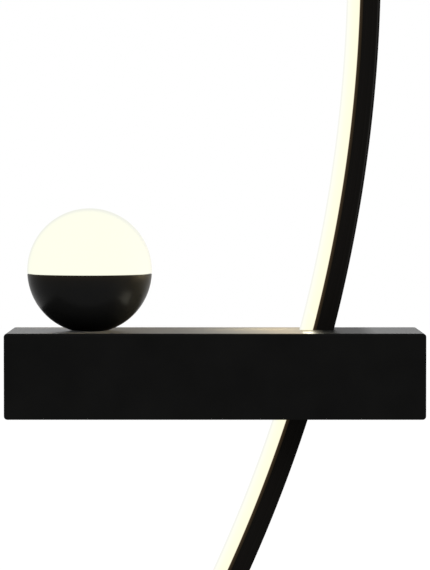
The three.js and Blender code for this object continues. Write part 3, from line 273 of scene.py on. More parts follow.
DRIVER_LENGTH = DRIVER_HIGH.x - DRIVER_LOW.x
DRIVER_HEIGHT = DRIVER_HIGH.z - DRIVER_LOW.z
DRIVER_LEAD_Y = (DRIVER_BASE + DRIVER_BACK) / 2
DRIVER_LEAD_Z = DRIVER_LEAD_SHARE * DRIVER_HEIGHT
LEAD_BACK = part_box("bar_lead_clip_right")[1].y - CLIP_WALL - GAP - LEAD_RADIUS
BODY_OF = {node: body for body, nodes in frame["record"]["behaviour"]["bodies"].items() for node in nodes}
SLOT_OF = {part["node"]: part["material_slot"] for part in frame["record"]["subparts"]}


# Mesh tools

def new_object(work):
    """An object from a bmesh, with its faces pointing out."""
    bmesh.ops.recalc_face_normals(work, faces=work.faces)
    mesh = bpy.data.meshes.new("piece")
    work.to_mesh(mesh)
    work.free()
    piece = bpy.data.objects.new("piece", mesh)
    bpy.context.scene.collection.objects.link(piece)
    return piece


def modify(piece, kind, **values):
    """Works a modifier into a mesh."""
    modifier = piece.modifiers.new("work", kind)
    for name, value in values.items():
        setattr(modifier, name, value)
    bpy.context.view_layer.update()
    graph = bpy.context.evaluated_depsgraph_get()
    mesh = bpy.data.meshes.new_from_object(piece.evaluated_get(graph))
    piece.modifiers.clear()
    piece.data = mesh
    return piece


def loft(rings):
    """A solid over rings of points, with its two ends capped."""
    work = bmesh.new()
    rows = [[work.verts.new(point) for point in ring] for ring in rings]
    count = len(rows[0])
    for near, far in zip(rows, rows[1:]):
        for i in range(count):
            j = (i + 1) % count
            work.faces.new((near[i], near[j], far[j], far[i]))
    work.faces.new(rows[0])
    work.faces.new(rows[-1][::-1])
    return new_object(work)


def prism(outline, axis, low, high):
    """A flat outline carried along an axis. Its own axes are Y and Z, X and Z, or X and Y."""
    at = "xyz".index(axis)
    return loft([[(*point[:at], level, *point[at:]) for point in outline] for level in (low, high)])


def revolve(profile, segments=ROD_SEGMENTS):
    """A closed profile of (radius, height) points turned about Z; a third number is a thread's pitch."""
    work = bmesh.new()
    on_axis = {k: work.verts.new((0, 0, point[1])) for k, point in enumerate(profile) if point[0] == 0}
    rows = []
    for i in range(segments):
        angle = 4 * QUARTER * i / segments
        row = []
        for k, (radius, height, *pitch) in enumerate(profile):
            if pitch:
                phase = (height / pitch[0] - angle / (4 * QUARTER)) % 1
                radius -= pitch[0] / 2 * abs(2 * phase - 1)
            spot = (radius * math.cos(angle), radius * math.sin(angle), height)
            row.append(on_axis[k] if k in on_axis else work.verts.new(spot))
        rows.append(row)
    for i, near in enumerate(rows):
        far = rows[(i + 1) % segments]
        for k in range(len(profile)):
            m = (k + 1) % len(profile)
            corners = list(dict.fromkeys((near[k], near[m], far[m], far[k])))
            if len(corners) > 2:
                work.faces.new(corners)
    return new_object(work)


def boolean(piece, tool, operation):
    """Joins, cuts or keeps what two solids share, and drops the tool."""
    modify(piece, "BOOLEAN", object=tool, operation=operation, solver="EXACT")
    bpy.data.objects.remove(tool)
    return piece


def join(piece, *others):
    for other in others:
        boolean(piece, other, "UNION")
    return piece


def cut(piece, *tools):
    for tool in tools:
        boolean(piece, tool, "DIFFERENCE")
    return piece


def gather(pieces):
    """Solids that don't touch, as one mesh."""
    work = bmesh.new()
    for piece in pieces:
        work.from_mesh(piece.data)
        bpy.data.objects.remove(piece)
    return new_object(work)


def soften(piece, width):
    """Rounds the sharp edges."""
    return modify(
        piece, "BEVEL",
        width=width, segments=2, limit_method="ANGLE", angle_limit=SMOOTH_ANGLE, miter_outer="MITER_ARC",
    )


# What a solid that stands along +Z is turned to: the axis that it then stands along, and the turn
WAYS = {
    "up": (2, Matrix.Identity(4)),
    "down": (2, Matrix.Rotation(2 * QUARTER, 4, "X")),
    "front": (1, Matrix.Rotation(QUARTER, 4, "X")),
    "back": (1, Matrix.Rotation(-QUARTER, 4, "X")),
    "right": (0, Matrix.Rotation(QUARTER, 4, "Y")),
    "left": (0, Matrix.Rotation(-QUARTER, 4, "Y")),
}


def place(piece, offset, way="up"):
    """Turns a solid to a way and moves it."""
    piece.data.transform(WAYS[way][1])
    piece.data.transform(Matrix.Translation(offset))
    return piece


def node_seat(node, way):
    """Where a piece that stands along a way starts, from its node's box, and how long it is."""
    low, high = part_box(node)
    axis = WAYS[way][0]
    start = (low + high) / 2
    start[axis] = low[axis] if way in ("up", "back", "right") else high[axis]
    return start, high[axis] - low[axis]


def finish(piece, node, material=None):
    """Gives a finished piece its shading and its slot's material (or the one given), names it after its node,
    puts it under its body and hides the node.
    """
    for face in piece.data.polygons:
        face.use_smooth = True
    piece.data.set_sharp_from_angle(angle=SMOOTH_ANGLE)
    modify(piece, "WEIGHTED_NORMAL", keep_sharp=True)
    piece.name = node + "_finish"
    piece.data.materials.clear()
    piece.data.materials.append(MATERIALS[material or SLOT_OF[node]])
    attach(piece, BODY_OF[node])
    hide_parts(node)


# Outlines

def arc(radius, start, end, steps=CORNER_STEPS):
    angles = [start + (end - start) * i / steps for i in range(steps + 1)]
    return [(radius * math.cos(angle), radius * math.sin(angle)) for angle in angles]


def moved(points, across, up):
    return [(across + x, up + y) for x, y in points]


def rounded_rectangle(width, height, radius, across=0, up=0):
    points = []
    for quarter, (side_x, side_z) in enumerate(((1, 1), (-1, 1), (-1, -1), (1, -1))):
        middle = (across + side_x * (width / 2 - radius), up + side_z * (height / 2 - radius))
        points += moved(arc(radius, quarter * QUARTER, (quarter + 1) * QUARTER), *middle)
    return points


def bar_section(front_half):
    """A section of the bar from its front half: (forward from the wall, inward from the bow's face)."""
    front = [(BAR_MIDDLE + forward, -inward) for forward, inward in front_half]
    back = [(BAR_MIDDLE - forward, -inward) for forward, inward in front_half]
    return front + back[::-1]


def corner(forward, inward, radius, start, end, steps=CORNER_STEPS):
    return [(forward + x, inward - y) for x, y in arc(radius, start, end, steps)]


def on_bow(forward, outward, angle):
    """The place at a distance from the wall and outward from the bow's outer face, at an angle."""
    radius = BOW_RADIUS + outward
    x = BOW_CENTRE_X + radius * math.cos(angle)
    return Vector((x, -forward, BOW_MIDDLE_Z + radius * math.sin(angle)))


def bow_sweep(section, low, high, steps=2):
    angles = [low + (high - low) * i / steps for i in range(steps + 1)]
    return loft([[on_bow(forward, outward, angle) for forward, outward in section] for angle in angles])


def put_on_bow(piece, angle, forward=0, inward=0, way="up"):
    """Turns a small solid, and puts it on the bow: its X points forward, its Y outward, its Z along."""
    place(piece, (forward, -inward, 0), way)
    outward = Vector((math.cos(angle), 0, math.sin(angle)))
    along = Vector((-math.sin(angle), 0, math.cos(angle)))
    basis = Matrix((Vector((0, -1, 0)), outward, along)).transposed().to_4x4()
    piece.data.transform(Matrix.Translation(on_bow(0, 0, angle)) @ basis)
    return piece


def bar_outline(margin):
    """The outline of channel and diffuser together, grown by a margin."""
    side = HALF_DEPTH + margin
    web_radius = CHANNEL_CORNER + margin
    lip = BAR_WIDTH - CHANNEL_LIP_LENGTH + margin
    centre_forward = DIFFUSER_HALF - DIFFUSER_CORNER
    centre_inward = DIFFUSER_EDGE - DIFFUSER_CORNER
    return bar_section([
        *corner(side - web_radius, CHANNEL_CORNER, web_radius, QUARTER, 0),
        (side, lip), (DIFFUSER_HALF + margin, lip),
        *corner(centre_forward, centre_inward, DIFFUSER_CORNER + margin, 0, -QUARTER),
    ])


# Rods, screws, nuts and leads

# The pitch of a screw, as a share of its radius with a millimetre, and that of a nut; and a recess's cross,
# as shares of the head
SCREW_PITCH = 0.2
NUT_PITCH = 1.8 * GAP
CROSS_LENGTH = 0.6
CROSS_WIDTH = 0.14
CROSS_FLOOR = 0.5


def thread(radius, low, high, pitch=None):
    """Rows of a thread, as (radius, height, pitch)."""
    pitch = pitch or SCREW_PITCH * (radius + PAST)
    count = max(2, round(THREAD_ROWS * abs(high - low) / pitch))
    return [(radius, low + (high - low) * i / count, pitch) for i in range(1, count)]


def tube(radius, bore, low, high, segments=ROD_SEGMENTS):
    return revolve([(bore, low), (radius, low), (radius, high), (bore, high)], segments)


def rod(radius, low, high, segments=ROD_SEGMENTS):
    return tube(radius, 0, low, high, segments)


def hole(radius, low, high, spot=(0, 0, 0), way="up", segments=ROD_SEGMENTS):
    """A rod that overruns both ends of the hole that it cuts."""
    return place(rod(radius, low - PAST, high + PAST, segments), spot, way)


def stud(radius, length, spot, way):
    """A threaded stud that stands on a spot, sunk a little into what carries it."""
    tip = radius / 4
    profile = [
        (0, -SINK), (radius, -SINK), (radius, tip), *thread(radius, tip, length - tip),
        (radius - tip, length), (0, length),
    ]
    return place(revolve(profile), spot, way)


def recess(piece, outline, floor, top, floor_share=1.0):
    """Sinks a recess into a head; its floor is a share of its mouth."""
    levels = ((floor_share, floor), (1, top), (1, top + PAST))
    return cut(piece, loft([[(share * x, share * y, z) for x, y in outline] for share, z in levels]))


def screw(radius, length, head):
    """A screw along +Z whose head stands on zero: a threaded shank, a rounded head and a cross recess."""
    head_radius, head_height = head
    edge = head_height / 3
    tip = radius / 3
    piece = revolve([
        (0, -length), (radius - tip, -length), *thread(radius, -length + tip, -tip), (radius, 0),
        (head_radius, 0), *moved(arc(edge, 0, QUARTER), head_radius - edge, head_height - edge),
        (0, head_height),
    ])
    reach, width = CROSS_LENGTH * head_radius, CROSS_WIDTH * head_radius
    cross = []
    for quarter in range(4):
        turned = Matrix.Rotation(quarter * QUARTER, 2)
        cross += [turned @ Vector(point) for point in ((reach, -width), (reach, width), (width, width))]
    return recess(piece, cross, head_height / 3, head_height, CROSS_FLOOR)


def hex_nut(width, bore, height):
    """A hexagonal nut that stands on zero, chamfered and threaded."""
    reach = width / math.sqrt(3)
    chamfer = (reach - width / 2) / 2
    blank = prism(arc(reach, QUARTER, 5 * QUARTER, 6)[:6], "z", 0, height)
    collar = revolve([
        (bore + chamfer, 0), (width / 2, 0), (reach, chamfer), (reach, height - chamfer),
        (width / 2, height), (bore + chamfer, height),
        *thread(bore, height - chamfer, chamfer, NUT_PITCH),
    ])
    return boolean(blank, collar, "INTERSECT")


def finish_screw(node, way, radius, head):
    """A screw in its node's box; its head looks along the way."""
    start, total = node_seat(node, way)
    shank = total - head[1]
    finish(place(place(screw(radius, shank, head), (0, 0, shank)), start, way), node)


def finish_nut(node, way, width, bore):
    start, height = node_seat(node, way)
    finish(place(hex_nut(width, bore + GAP, height), start, way), node)


def ring(make, circle, count, start=0):
    """Copies of a solid, evenly spaced on a circle about the Z axis."""
    pieces = [place(make(), (circle, 0, 0)) for _ in range(count)]
    for i, piece in enumerate(pieces):
        piece.data.transform(Matrix.Rotation(start + i * 4 * QUARTER / count, 4, "Z"))
    return pieces


def smooth_route(places):
    """Points on the centripetal curve through given places."""
    spots = [Vector(spot) for spot in places]
    spots = [2 * spots[0] - spots[1], *spots, 2 * spots[-1] - spots[-2]]
    route = []
    for before, start, end, after in zip(spots, spots[1:], spots[2:], spots[3:]):
        gaps = [math.sqrt((b - a).length) for a, b in ((before, start), (start, end), (end, after))]
        leave = (start - before) / gaps[0] - (end - before) / (gaps[0] + gaps[1]) + (end - start) / gaps[1]
        arrive = (end - start) / gaps[1] - (after - start) / (gaps[1] + gaps[2]) + (after - end) / gaps[2]
        leave, arrive = leave * gaps[1], arrive * gaps[1]
        cubic = 2 * (start - end) + leave + arrive
        square = 3 * (end - start) - 2 * leave - arrive
        for i in range(ROUTE_STEPS):
            t = i / ROUTE_STEPS
            route.append(start + t * (leave + t * (square + t * cubic)))
    return [*route, spots[-2]]


def lead(radius, places):
    """A round lead along a smooth curve through given places."""
    route = smooth_route(places)
    data = bpy.data.curves.new("lead", "CURVE")
    data.dimensions = "3D"
    data.bevel_depth = radius
    data.bevel_resolution = LEAD_ROUNDING
    data.use_fill_caps = True
    spline = data.splines.new("POLY")
    spline.points.add(len(route) - 1)
    for point, spot in zip(spline.points, route):
        point.co = (*spot, 1)
    line = bpy.data.objects.new("lead", data)
    bpy.context.scene.collection.objects.link(line)
    bpy.context.view_layer.update()
    mesh = bpy.data.meshes.new_from_object(line.evaluated_get(bpy.context.evaluated_depsgraph_get()))
    bpy.data.objects.remove(line)
    work = bmesh.new()
    work.from_mesh(mesh)
    bmesh.ops.remove_doubles(work, verts=work.verts, dist=SINK / 100)
    return new_object(work)


# Materials

class Nodes:
    """Short calls for building one material."""

    def __init__(self, name, **values):
        self.name = name
        self.material = bpy.data.materials.new(name)
        self.material.use_nodes = True
        self.tree = self.material.node_tree
        self.tree.nodes.clear()
        self.shader = self.tree.nodes.new("ShaderNodeBsdfPrincipled")
        self.add("OutputMaterial", Surface=self.shader.outputs["BSDF"])
        self.set(**values)

    def put(self, value, socket):
        """Gives a socket a link, a colour or a number."""
        if isinstance(value, bpy.types.NodeSocket):
            self.tree.links.new(value, socket)
        else:
            socket.default_value = (*value, 1) if isinstance(value, tuple) else value

    def set(self, **values):
        """Fills the shader's own sockets; a low line in a name stands for a space."""
        for name, value in values.items():
            self.put(value, self.shader.inputs[name.replace("_", " ")])

    def add(self, kind, *values, **named):
        """A node with its first inputs filled in order, and its other inputs and settings by name."""
        node = self.tree.nodes.new("ShaderNode" + kind)
        for name, value in named.items():
            if hasattr(node, name):
                setattr(node, name, value)
            else:
                self.put(value, node.inputs[name.replace("_", " ")])
        for socket, value in zip(node.inputs, values):
            self.put(value, socket)
        return node

    def position(self):
        """The place on the piece, in metres."""
        return self.add("TexCoord").outputs["Object"]

    def axes(self):
        return list(self.add("SeparateXYZ", self.position()).outputs)

    def noise(self, size, detail=3, roughness=0.5, vector=None):
        """Noise whose lumps are about a size across."""
        vector = vector or self.position()
        node = self.add("TexNoise", Vector=vector, Scale=1 / size, Detail=detail, Roughness=roughness)
        return node.outputs["Fac"]

    def lines(self, size, first, second):
        """Noise over two measures, so that its lumps are drawn out along the third."""
        return self.noise(size, vector=self.add("CombineXYZ", first, second).outputs["Vector"])

    def cells(self, size):
        """Flat patches of random value, about a size across."""
        node = self.add("TexVoronoi", Vector=self.position(), Scale=1 / size)
        return self.add("SeparateColor", node.outputs["Color"]).outputs["Red"]

    def spread(self, value, low, high, start=0.0, end=1.0):
        """A value between start and end taken to the span from low to high."""
        node = self.add("MapRange", Value=value, From_Min=start, From_Max=end, To_Min=low, To_Max=high)
        return node.outputs["Result"]

    def ramp(self, value, *stops):
        """Colours between stops of (place, colour)."""
        node = self.add("ValToRGB", value)
        while len(node.color_ramp.elements) < len(stops):
            node.color_ramp.elements.new(1)
        for element, (where, colour) in zip(node.color_ramp.elements, stops):
            element.position = where
            element.color = (*colour, 1)
        return node.outputs["Color"]

    def tones(self, value, low, high):
        """Two near colours over the middle of a noise."""
        return self.ramp(value, (0.3, low), (0.7, high))

    def blend(self, share, first, second):
        """One colour taken towards another."""
        node = self.add("Mix", data_type="RGBA", Factor=share)
        sockets = [socket for socket in node.inputs if socket.type == "RGBA"]
        for colour, socket in zip((first, second), sockets):
            self.put(colour, socket)
        return next(socket for socket in node.outputs if socket.type == "RGBA")

    def maths(self, operation, *values):
        return self.add("Math", *values, operation=operation).outputs["Value"]

    def times(self, first, second):
        return self.maths("MULTIPLY", first, second)

    def minus(self, first, second):
        return self.maths("SUBTRACT", first, second)

    def distance(self, first, second):
        return self.maths("SQRT", self.maths("ADD", self.times(first, first), self.times(second, second)))

    def within(self, value, low, high, soft=0.03 * MM):
        """One where a value lies between low and high, with soft ends."""
        rise = self.spread(value, 0.0, 1.0, low - soft, low + soft)
        return self.times(rise, self.spread(value, 1.0, 0.0, high - soft, high + soft))

    def bump(self, height, strength, distance):
        node = self.add("Bump", Height=height, Strength=strength, Distance=distance)
        self.set(Normal=node.outputs["Normal"])

    def about_globe(self):
        """The distance from the globe's axis, and the height."""
        x, y, z = self.axes()
        return self.distance(self.minus(x, GLOBE_AXIS.x), self.minus(y, GLOBE_AXIS.y)), z

    def about_bow(self):
        """The distance from the bow's axis, and the depth."""
        x, y, z = self.axes()
        return self.distance(self.minus(x, BOW_CENTRE_X), self.minus(z, BOW_MIDDLE_Z)), y


PAINT_TONES = (0.0056, 0.0056, 0.0055), (0.007, 0.007, 0.0068)
BLACK_TONES = (0.005, 0.005, 0.005), (0.007, 0.007, 0.007)
ANODISED_TONES = (0.0056, 0.0052, 0.0046), (0.0078, 0.007, 0.0064)
OPAL_TONES = (0.02, 0.02, 0.018), (0.03, 0.03, 0.026)
ALUMINIUM_TONES = (0.55, 0.56, 0.57), (0.66, 0.67, 0.68)
BRASS_TONES = (0.5, 0.35, 0.11), (0.62, 0.45, 0.16)
WHITE_TONES = (0.66, 0.66, 0.62), (0.72, 0.72, 0.68)
WHITE_BOARD_TONES = (0.72, 0.72, 0.69), (0.78, 0.78, 0.75)
GREEN_BOARD_TONES = (0.015, 0.09, 0.035), (0.03, 0.14, 0.06)
DARK_PART_TONES = (0.012, 0.012, 0.014), (0.02, 0.03, 0.06)
RUBBER_TONES = (0.008, 0.008, 0.008), (0.014, 0.014, 0.014)
SILICONE_TONES = (0.2, 0.28, 0.36), (0.26, 0.35, 0.43)
JACKET_TONES = (0.66, 0.65, 0.61), (0.74, 0.72, 0.68)
EARTH_GREEN = (0.03, 0.2, 0.03)
EARTH_YELLOW = (0.6, 0.5, 0.03)
# The colour of the painted highlight just inside the channel's outer edge
PAINTED_EDGE_HIGHLIGHT = (0.022, 0.021, 0.02)
PHOSPHOR = (0.95, 0.72, 0.2)
PHOSPHOR_GLOW = (1.0, 0.85, 0.5)
COPPER = (0.62, 0.56, 0.42)
DARK = (0.0, 0.0, 0.0)

# The paint of the housing's top: its roughness, and a painted pool of the bar's light round the diffuser's
# foot
CLOUD_ROUGHNESS = (0.295, 0.305)
GLOBE_ROUGHNESS = 0.17
BAR_ROUGHNESS = 0.12
GLOBE_ROUGH_SHARE = 0.6
GLOBE_ROUGH_SOFT = 12 * MM
GLOBE_ROUGH_SPAN = (8 * MM, 110 * MM)
BAR_ROUGH_WIDTH = 28 * MM
BAR_ROUGH_SOFT = 5 * MM
TOP_GLOSS = 0.5
SIDE_GLOSS = 0.004
TOP_SHEEN = 0.06
PAINTED_GLOW_REACH = 80 * MM
PAINTED_GLOW_FADE_BEHIND = 6
PAINTED_GLOW_FADE_DEEP = 0.45
PAINTED_GLOW_STOPS = (
    (0.0, (0.34, 0.27, 0.15)), (0.25, (0.28, 0.215, 0.11)), (0.4, (0.2, 0.166, 0.1)),
    (0.6, (0.1, 0.089, 0.061)), (0.8, (0.035, 0.032, 0.024)), (1.0, DARK),
)
FOOT_SLOPE = math.asin((BOX_HIGH.z - BOW_MIDDLE_Z) / BOW_RADIUS)
DIFFUSER_FOOT = on_bow(BAR_MIDDLE, -DIFFUSER_EDGE, FOOT_SLOPE)

# The glowing surfaces, with the painted light on the bowl's rim and the channel's lip: how far the light
# reaches, and its colours from one side to the other
PAINTED_RIM_GLOW_HEIGHT = 9 * MM
PAINTED_RIM_GLOW_STOPS = ((0.0, DARK), (0.6, (0.0015, 0.001, 0.0004)), (1.0, (0.008, 0.0045, 0.0015)))
PAINTED_LIP_GLOW_STOPS = ((0.0, DARK), (0.15, (0.012, 0.008, 0.004)), (1.0, (0.042, 0.026, 0.012)))
BAR_STOPS = (
    (0.0, (0.06, 0.035, 0.012)), (0.03, (1.0, 0.93, 0.72)), (0.12, (1.02, 1.0, 0.75)),
    (0.6, (1.02, 1.02, 0.8)), (0.9, (1.0, 1.0, 0.88)), (1.0, (0.9, 0.9, 0.84)),
)
DOME_FADE = (-0.5 * GLOBE_RADIUS, 0.35 * GLOBE_RADIUS)
DOME_STOPS = (
    (0.0, (0.985, 0.99, 0.83)), (0.2, (0.97, 0.975, 0.83)), (0.36, (0.86, 0.87, 0.79)),
    (0.55, (0.84, 0.85, 0.78)), (1.0, (0.8, 0.79, 0.7)),
)

# A painted highlight inside the channel's outer edge, and lines of the metals
ARRIS = (1.7 * MM, 1.1 * MM)
ARRIS_SOFT = 0.2 * MM
EDGE_HIGHLIGHT_HEIGHTS = (20 * MM, 120 * MM)
DIE_LINE = 0.35 * MM
BRUSH_LINE = 0.2 * MM
TURNED_LINE = 0.25 * MM
CRYSTAL = 1.1 * MM
STAIN_STOPS = ((0.35, (0.42, 0.46, 0.5)), (0.6, (0.52, 0.54, 0.54)), (0.8, (0.56, 0.53, 0.42)))

# Boards: the weave, the patches of the dark parts, and the copper as shares of tape and chip
WEAVE = 0.7 * MM
PATCH = 9 * MM
TAPE_COPPER = (0.3 * TAPE_WIDTH, 0.36 * TAPE_WIDTH)
RING_COPPER = 0.3 * BOARD_CHIP
RING_SHOW = 0.25
STRIPE_EDGE = (0.5 * WIRE_RADIUS, 0.6 * WIRE_RADIUS)


def powder(name):
    """Powder paint: a fine, shallow orange peel and cloudy, nearly even tones."""
    paint = Nodes(name, Metallic=0.0, IOR=1.1)
    cloud = paint.noise(size=28 * MM, detail=4)
    paint.set(Base_Color=paint.tones(cloud, *PAINT_TONES))
    paint.bump(paint.noise(size=0.9 * MM, detail=2), strength=0.16, distance=0.05 * MM)
    return paint, cloud


def black_paint():
    """The housing's paint. Its top is glossier, rougher by globe and bar, and has a painted warm pool of the
    bar's light round the diffuser's foot.
    """
    paint, cloud = powder("black_paint")
    x, y, z = paint.axes()
    from_globe = paint.maths("ABSOLUTE", paint.minus(x, GLOBE_X + GLOBE_ROUGH_SHARE * GLOBE_RADIUS))
    right_of_globe = paint.spread(x, 0.0, 1.0, GLOBE_X - GLOBE_ROUGH_SOFT, GLOBE_X + GLOBE_ROUGH_SOFT)
    by_globe = paint.times(paint.spread(from_globe, GLOBE_ROUGHNESS, 0.0, *GLOBE_ROUGH_SPAN), right_of_globe)
    by_bar = paint.within(x, BOW_CROSSING_X, BOW_CROSSING_X + BAR_ROUGH_WIDTH, BAR_ROUGH_SOFT)
    by_bar = paint.times(by_bar, BAR_ROUGHNESS)
    uneven = paint.maths("ADD", by_globe, by_bar)
    on_top = paint.spread(z, 0.0, 1.0, BOX_HIGH.z - EDGE, BOX_HIGH.z - EDGE / 4)
    before_bar = paint.minus(DIFFUSER_FOOT.x, x)
    left_of_bar = paint.spread(before_bar, TOP_SHEEN, 0.0, 0.0, -BAR_WIDTH / 2)
    # Painted light: a warm emission on the top that fades with distance from the diffuser's foot, fast to its
    # right and slowly along the depth
    aside = paint.maths("MAXIMUM", before_bar, paint.times(before_bar, -PAINTED_GLOW_FADE_BEHIND))
    from_foot = paint.distance(aside, paint.times(paint.minus(y, DIFFUSER_FOOT.y), PAINTED_GLOW_FADE_DEEP))
    painted_glow = paint.ramp(paint.spread(from_foot, 0.0, 1.0, 0.0, PAINTED_GLOW_REACH), *PAINTED_GLOW_STOPS)
    paint.set(
        Roughness=paint.maths("ADD", paint.spread(cloud, *CLOUD_ROUGHNESS), uneven),
        Specular_IOR_Level=paint.spread(z, SIDE_GLOSS, TOP_GLOSS, INNER_TOP, BOX_HIGH.z - EDGE),
        Sheen_Weight=paint.times(on_top, left_of_bar), Sheen_Roughness=0.4,
        Emission_Color=painted_glow, Emission_Strength=on_top,
    )
    return paint


def black_paint_bowl():
    """The bowl's paint, with the dome's light painted on the rim just under it as a warm emission."""
    paint, cloud = powder("black_paint_bowl")
    # Painted light: a warm emission on the bowl just under its rim, fading downwards
    rim = GLOBE_CENTRE.z - GLOBE_SPLIT
    glow = paint.spread(paint.about_globe()[1], 0.0, 1.0, rim - PAINTED_RIM_GLOW_HEIGHT, rim)
    painted_glow = paint.ramp(glow, *PAINTED_RIM_GLOW_STOPS)
    paint.set(Roughness=paint.spread(cloud, low=0.28, high=0.32), Emission_Color=painted_glow, Emission_Strength=1.0)
    return paint


def black_anodised():
    """Extruded aluminium: faint die lines along the bow, a painted highlight just inside its outer edge, and
    painted warm light on the lip beside the lit diffuser.
    """
    metal = Nodes("black_anodised", Metallic=0.0, IOR=1.08, Specular_IOR_Level=0.05, Emission_Strength=1.0)
    radius, depth = metal.about_bow()
    lines = metal.lines(DIE_LINE, radius, depth)
    # A painted highlight: a lighter band just inside the channel's outer edge, fading out towards the housing
    arris = metal.within(radius, *[BOW_RADIUS - inward for inward in ARRIS], ARRIS_SOFT)
    edge_highlight = metal.times(arris, metal.spread(metal.axes()[2], 0.0, 1.0, *EDGE_HIGHLIGHT_HEIGHTS))
    # Painted light: a warm emission on the lip beside the diffuser
    lip = BOW_RADIUS - BAR_WIDTH
    painted_glow = metal.ramp(metal.spread(radius, 0.0, 1.0, lip + CHANNEL_LIP_LENGTH, lip), *PAINTED_LIP_GLOW_STOPS)
    metal.set(
        Base_Color=metal.blend(edge_highlight, metal.tones(lines, *ANODISED_TONES), PAINTED_EDGE_HIGHLIGHT),
        Roughness=metal.spread(lines, low=0.32, high=0.42), Emission_Color=painted_glow,
    )
    metal.bump(lines, strength=0.12, distance=0.04 * MM)
    return metal


def opal(name, roughness, grain_size):
    """Opal acrylic that is lit from inside."""
    acrylic = Nodes(
        name, Metallic=0.0, Roughness=roughness, Specular_IOR_Level=0.0, Emission_Strength=1.0,
    )
    grain = acrylic.noise(grain_size, detail=2)
    acrylic.set(Base_Color=acrylic.tones(grain, *OPAL_TONES))
    acrylic.bump(grain, strength=0.05, distance=0.03 * MM)
    return acrylic


def opal_bar():
    """Yellower beside the channel, a little dimmer at its outer edge."""
    acrylic = opal("opal_bar", roughness=0.35, grain_size=0.5 * MM)
    across = acrylic.spread(
        acrylic.about_bow()[0], 0.0, 1.0, BOW_RADIUS - BAR_WIDTH, BOW_RADIUS - DIFFUSER_EDGE,
    )
    acrylic.set(Emission_Color=acrylic.ramp(across, *BAR_STOPS))
    return acrylic


def opal_dome():
    """Brightest at the front, dimmer towards the wall."""
    acrylic = opal("opal_dome", roughness=0.3, grain_size=0.6 * MM)
    ends = [GLOBE_CENTRE.y + back for back in DOME_FADE]
    acrylic.set(Emission_Color=acrylic.ramp(acrylic.spread(acrylic.axes()[1], 0.0, 1.0, *ends), *DOME_STOPS))
    return acrylic


def moulded(name, tones, roughness, ior=1.45, grain_size=0.8 * MM, bump=0.1):
    """Moulded plastic or rubber: two near tones, an uneven sheen and a fine spark-eroded grain."""
    surface = Nodes(name, Metallic=0.0, IOR=ior)
    grain = surface.noise(grain_size, detail=4, roughness=0.6)
    surface.set(
        Base_Color=surface.tones(surface.noise(size=12 * grain_size), *tones),
        Roughness=surface.spread(grain, low=0.85 * roughness, high=1.15 * roughness),
    )
    surface.bump(grain, strength=bump, distance=0.05 * MM)
    return surface


def zinc():
    """Zinc plate: blue-white with faint yellow stains and a crystalline sheen."""
    metal = Nodes("zinc", Metallic=1.0)
    metal.set(
        Base_Color=metal.ramp(metal.noise(size=6 * MM, detail=5), *STAIN_STOPS),
        Roughness=metal.spread(metal.cells(CRYSTAL), low=0.27, high=0.4),
    )
    metal.bump(metal.noise(size=0.3 * MM), strength=0.12, distance=0.02 * MM)
    return metal


def brushed(name, tones, is_turned=False):
    """Metal with fine lines of uneven sheen: drawn along Z, or turned about the globe's axis."""
    metal = Nodes(name, Metallic=1.0)
    size, measures = (TURNED_LINE, metal.about_globe()) if is_turned else (BRUSH_LINE, metal.axes()[:2])
    lines = metal.lines(size, *measures)
    metal.set(Base_Color=metal.tones(lines, *tones), Roughness=metal.spread(lines, low=0.28, high=0.42))
    metal.bump(lines, strength=0.15, distance=0.02 * MM)
    return metal


def solder_mask(name, tones):
    """A lacquered board with a faint weave under its lacquer."""
    board = Nodes(name, Metallic=0.0, Roughness=0.32, IOR=1.5)
    weave = board.add("TexBrick", Vector=board.position(), Scale=1 / WEAVE)
    board.bump(weave.outputs["Fac"], strength=0.05, distance=0.02 * MM)
    return board, board.tones(board.noise(size=7 * MM), *tones)


def lit_chips(board, tone, height):
    """The yellow windows of the chips, where the height above the board is that of their floors."""
    floor_height = CHIP_HEIGHT - EDGE
    window = board.within(height, floor_height - EDGE / 2, floor_height + EDGE / 2)
    board.set(
        Base_Color=board.blend(window, tone, PHOSPHOR),
        Emission_Color=board.blend(window, DARK, PHOSPHOR_GLOW), Emission_Strength=2.0,
    )
    return board


def light_tape():
    """White tape with two copper strips and its chips."""
    board, tone = solder_mask("light_tape", WHITE_BOARD_TONES)
    radius, depth = board.about_bow()
    height = board.minus(BOW_RADIUS - CHANNEL_WEB - GAP - TAPE_THICKNESS, radius)
    from_middle = board.maths("ABSOLUTE", board.maths("ADD", depth, BAR_MIDDLE))
    strips = board.within(from_middle, *TAPE_COPPER)
    return lit_chips(board, board.blend(strips, tone, COPPER), height)


def light_board():
    """White round board with copper rings between its chips."""
    board, tone = solder_mask("light_board", WHITE_BOARD_TONES)
    radius, z = board.about_globe()
    rings = board.maths("MAXIMUM", *[
        board.within(radius, circle - RING_COPPER, circle + RING_COPPER) for circle, _ in BOARD_RINGS
    ])
    tone = board.blend(board.times(rings, RING_SHOW), tone, COPPER)
    return lit_chips(board, tone, board.minus(z, BOARD_TOP_Z))


def driver_board_finish():
    """A green board whose parts are dark."""
    board, tone = solder_mask("driver_board", GREEN_BOARD_TONES)
    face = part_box("driver_board")[0].y + DRIVER_BOARD
    above = board.spread(board.axes()[1], 0.0, 1.0, face + EDGE / 2, face + EDGE)
    board.set(Base_Color=board.blend(above, tone, board.tones(board.cells(PATCH), *DARK_PART_TONES)))
    return board


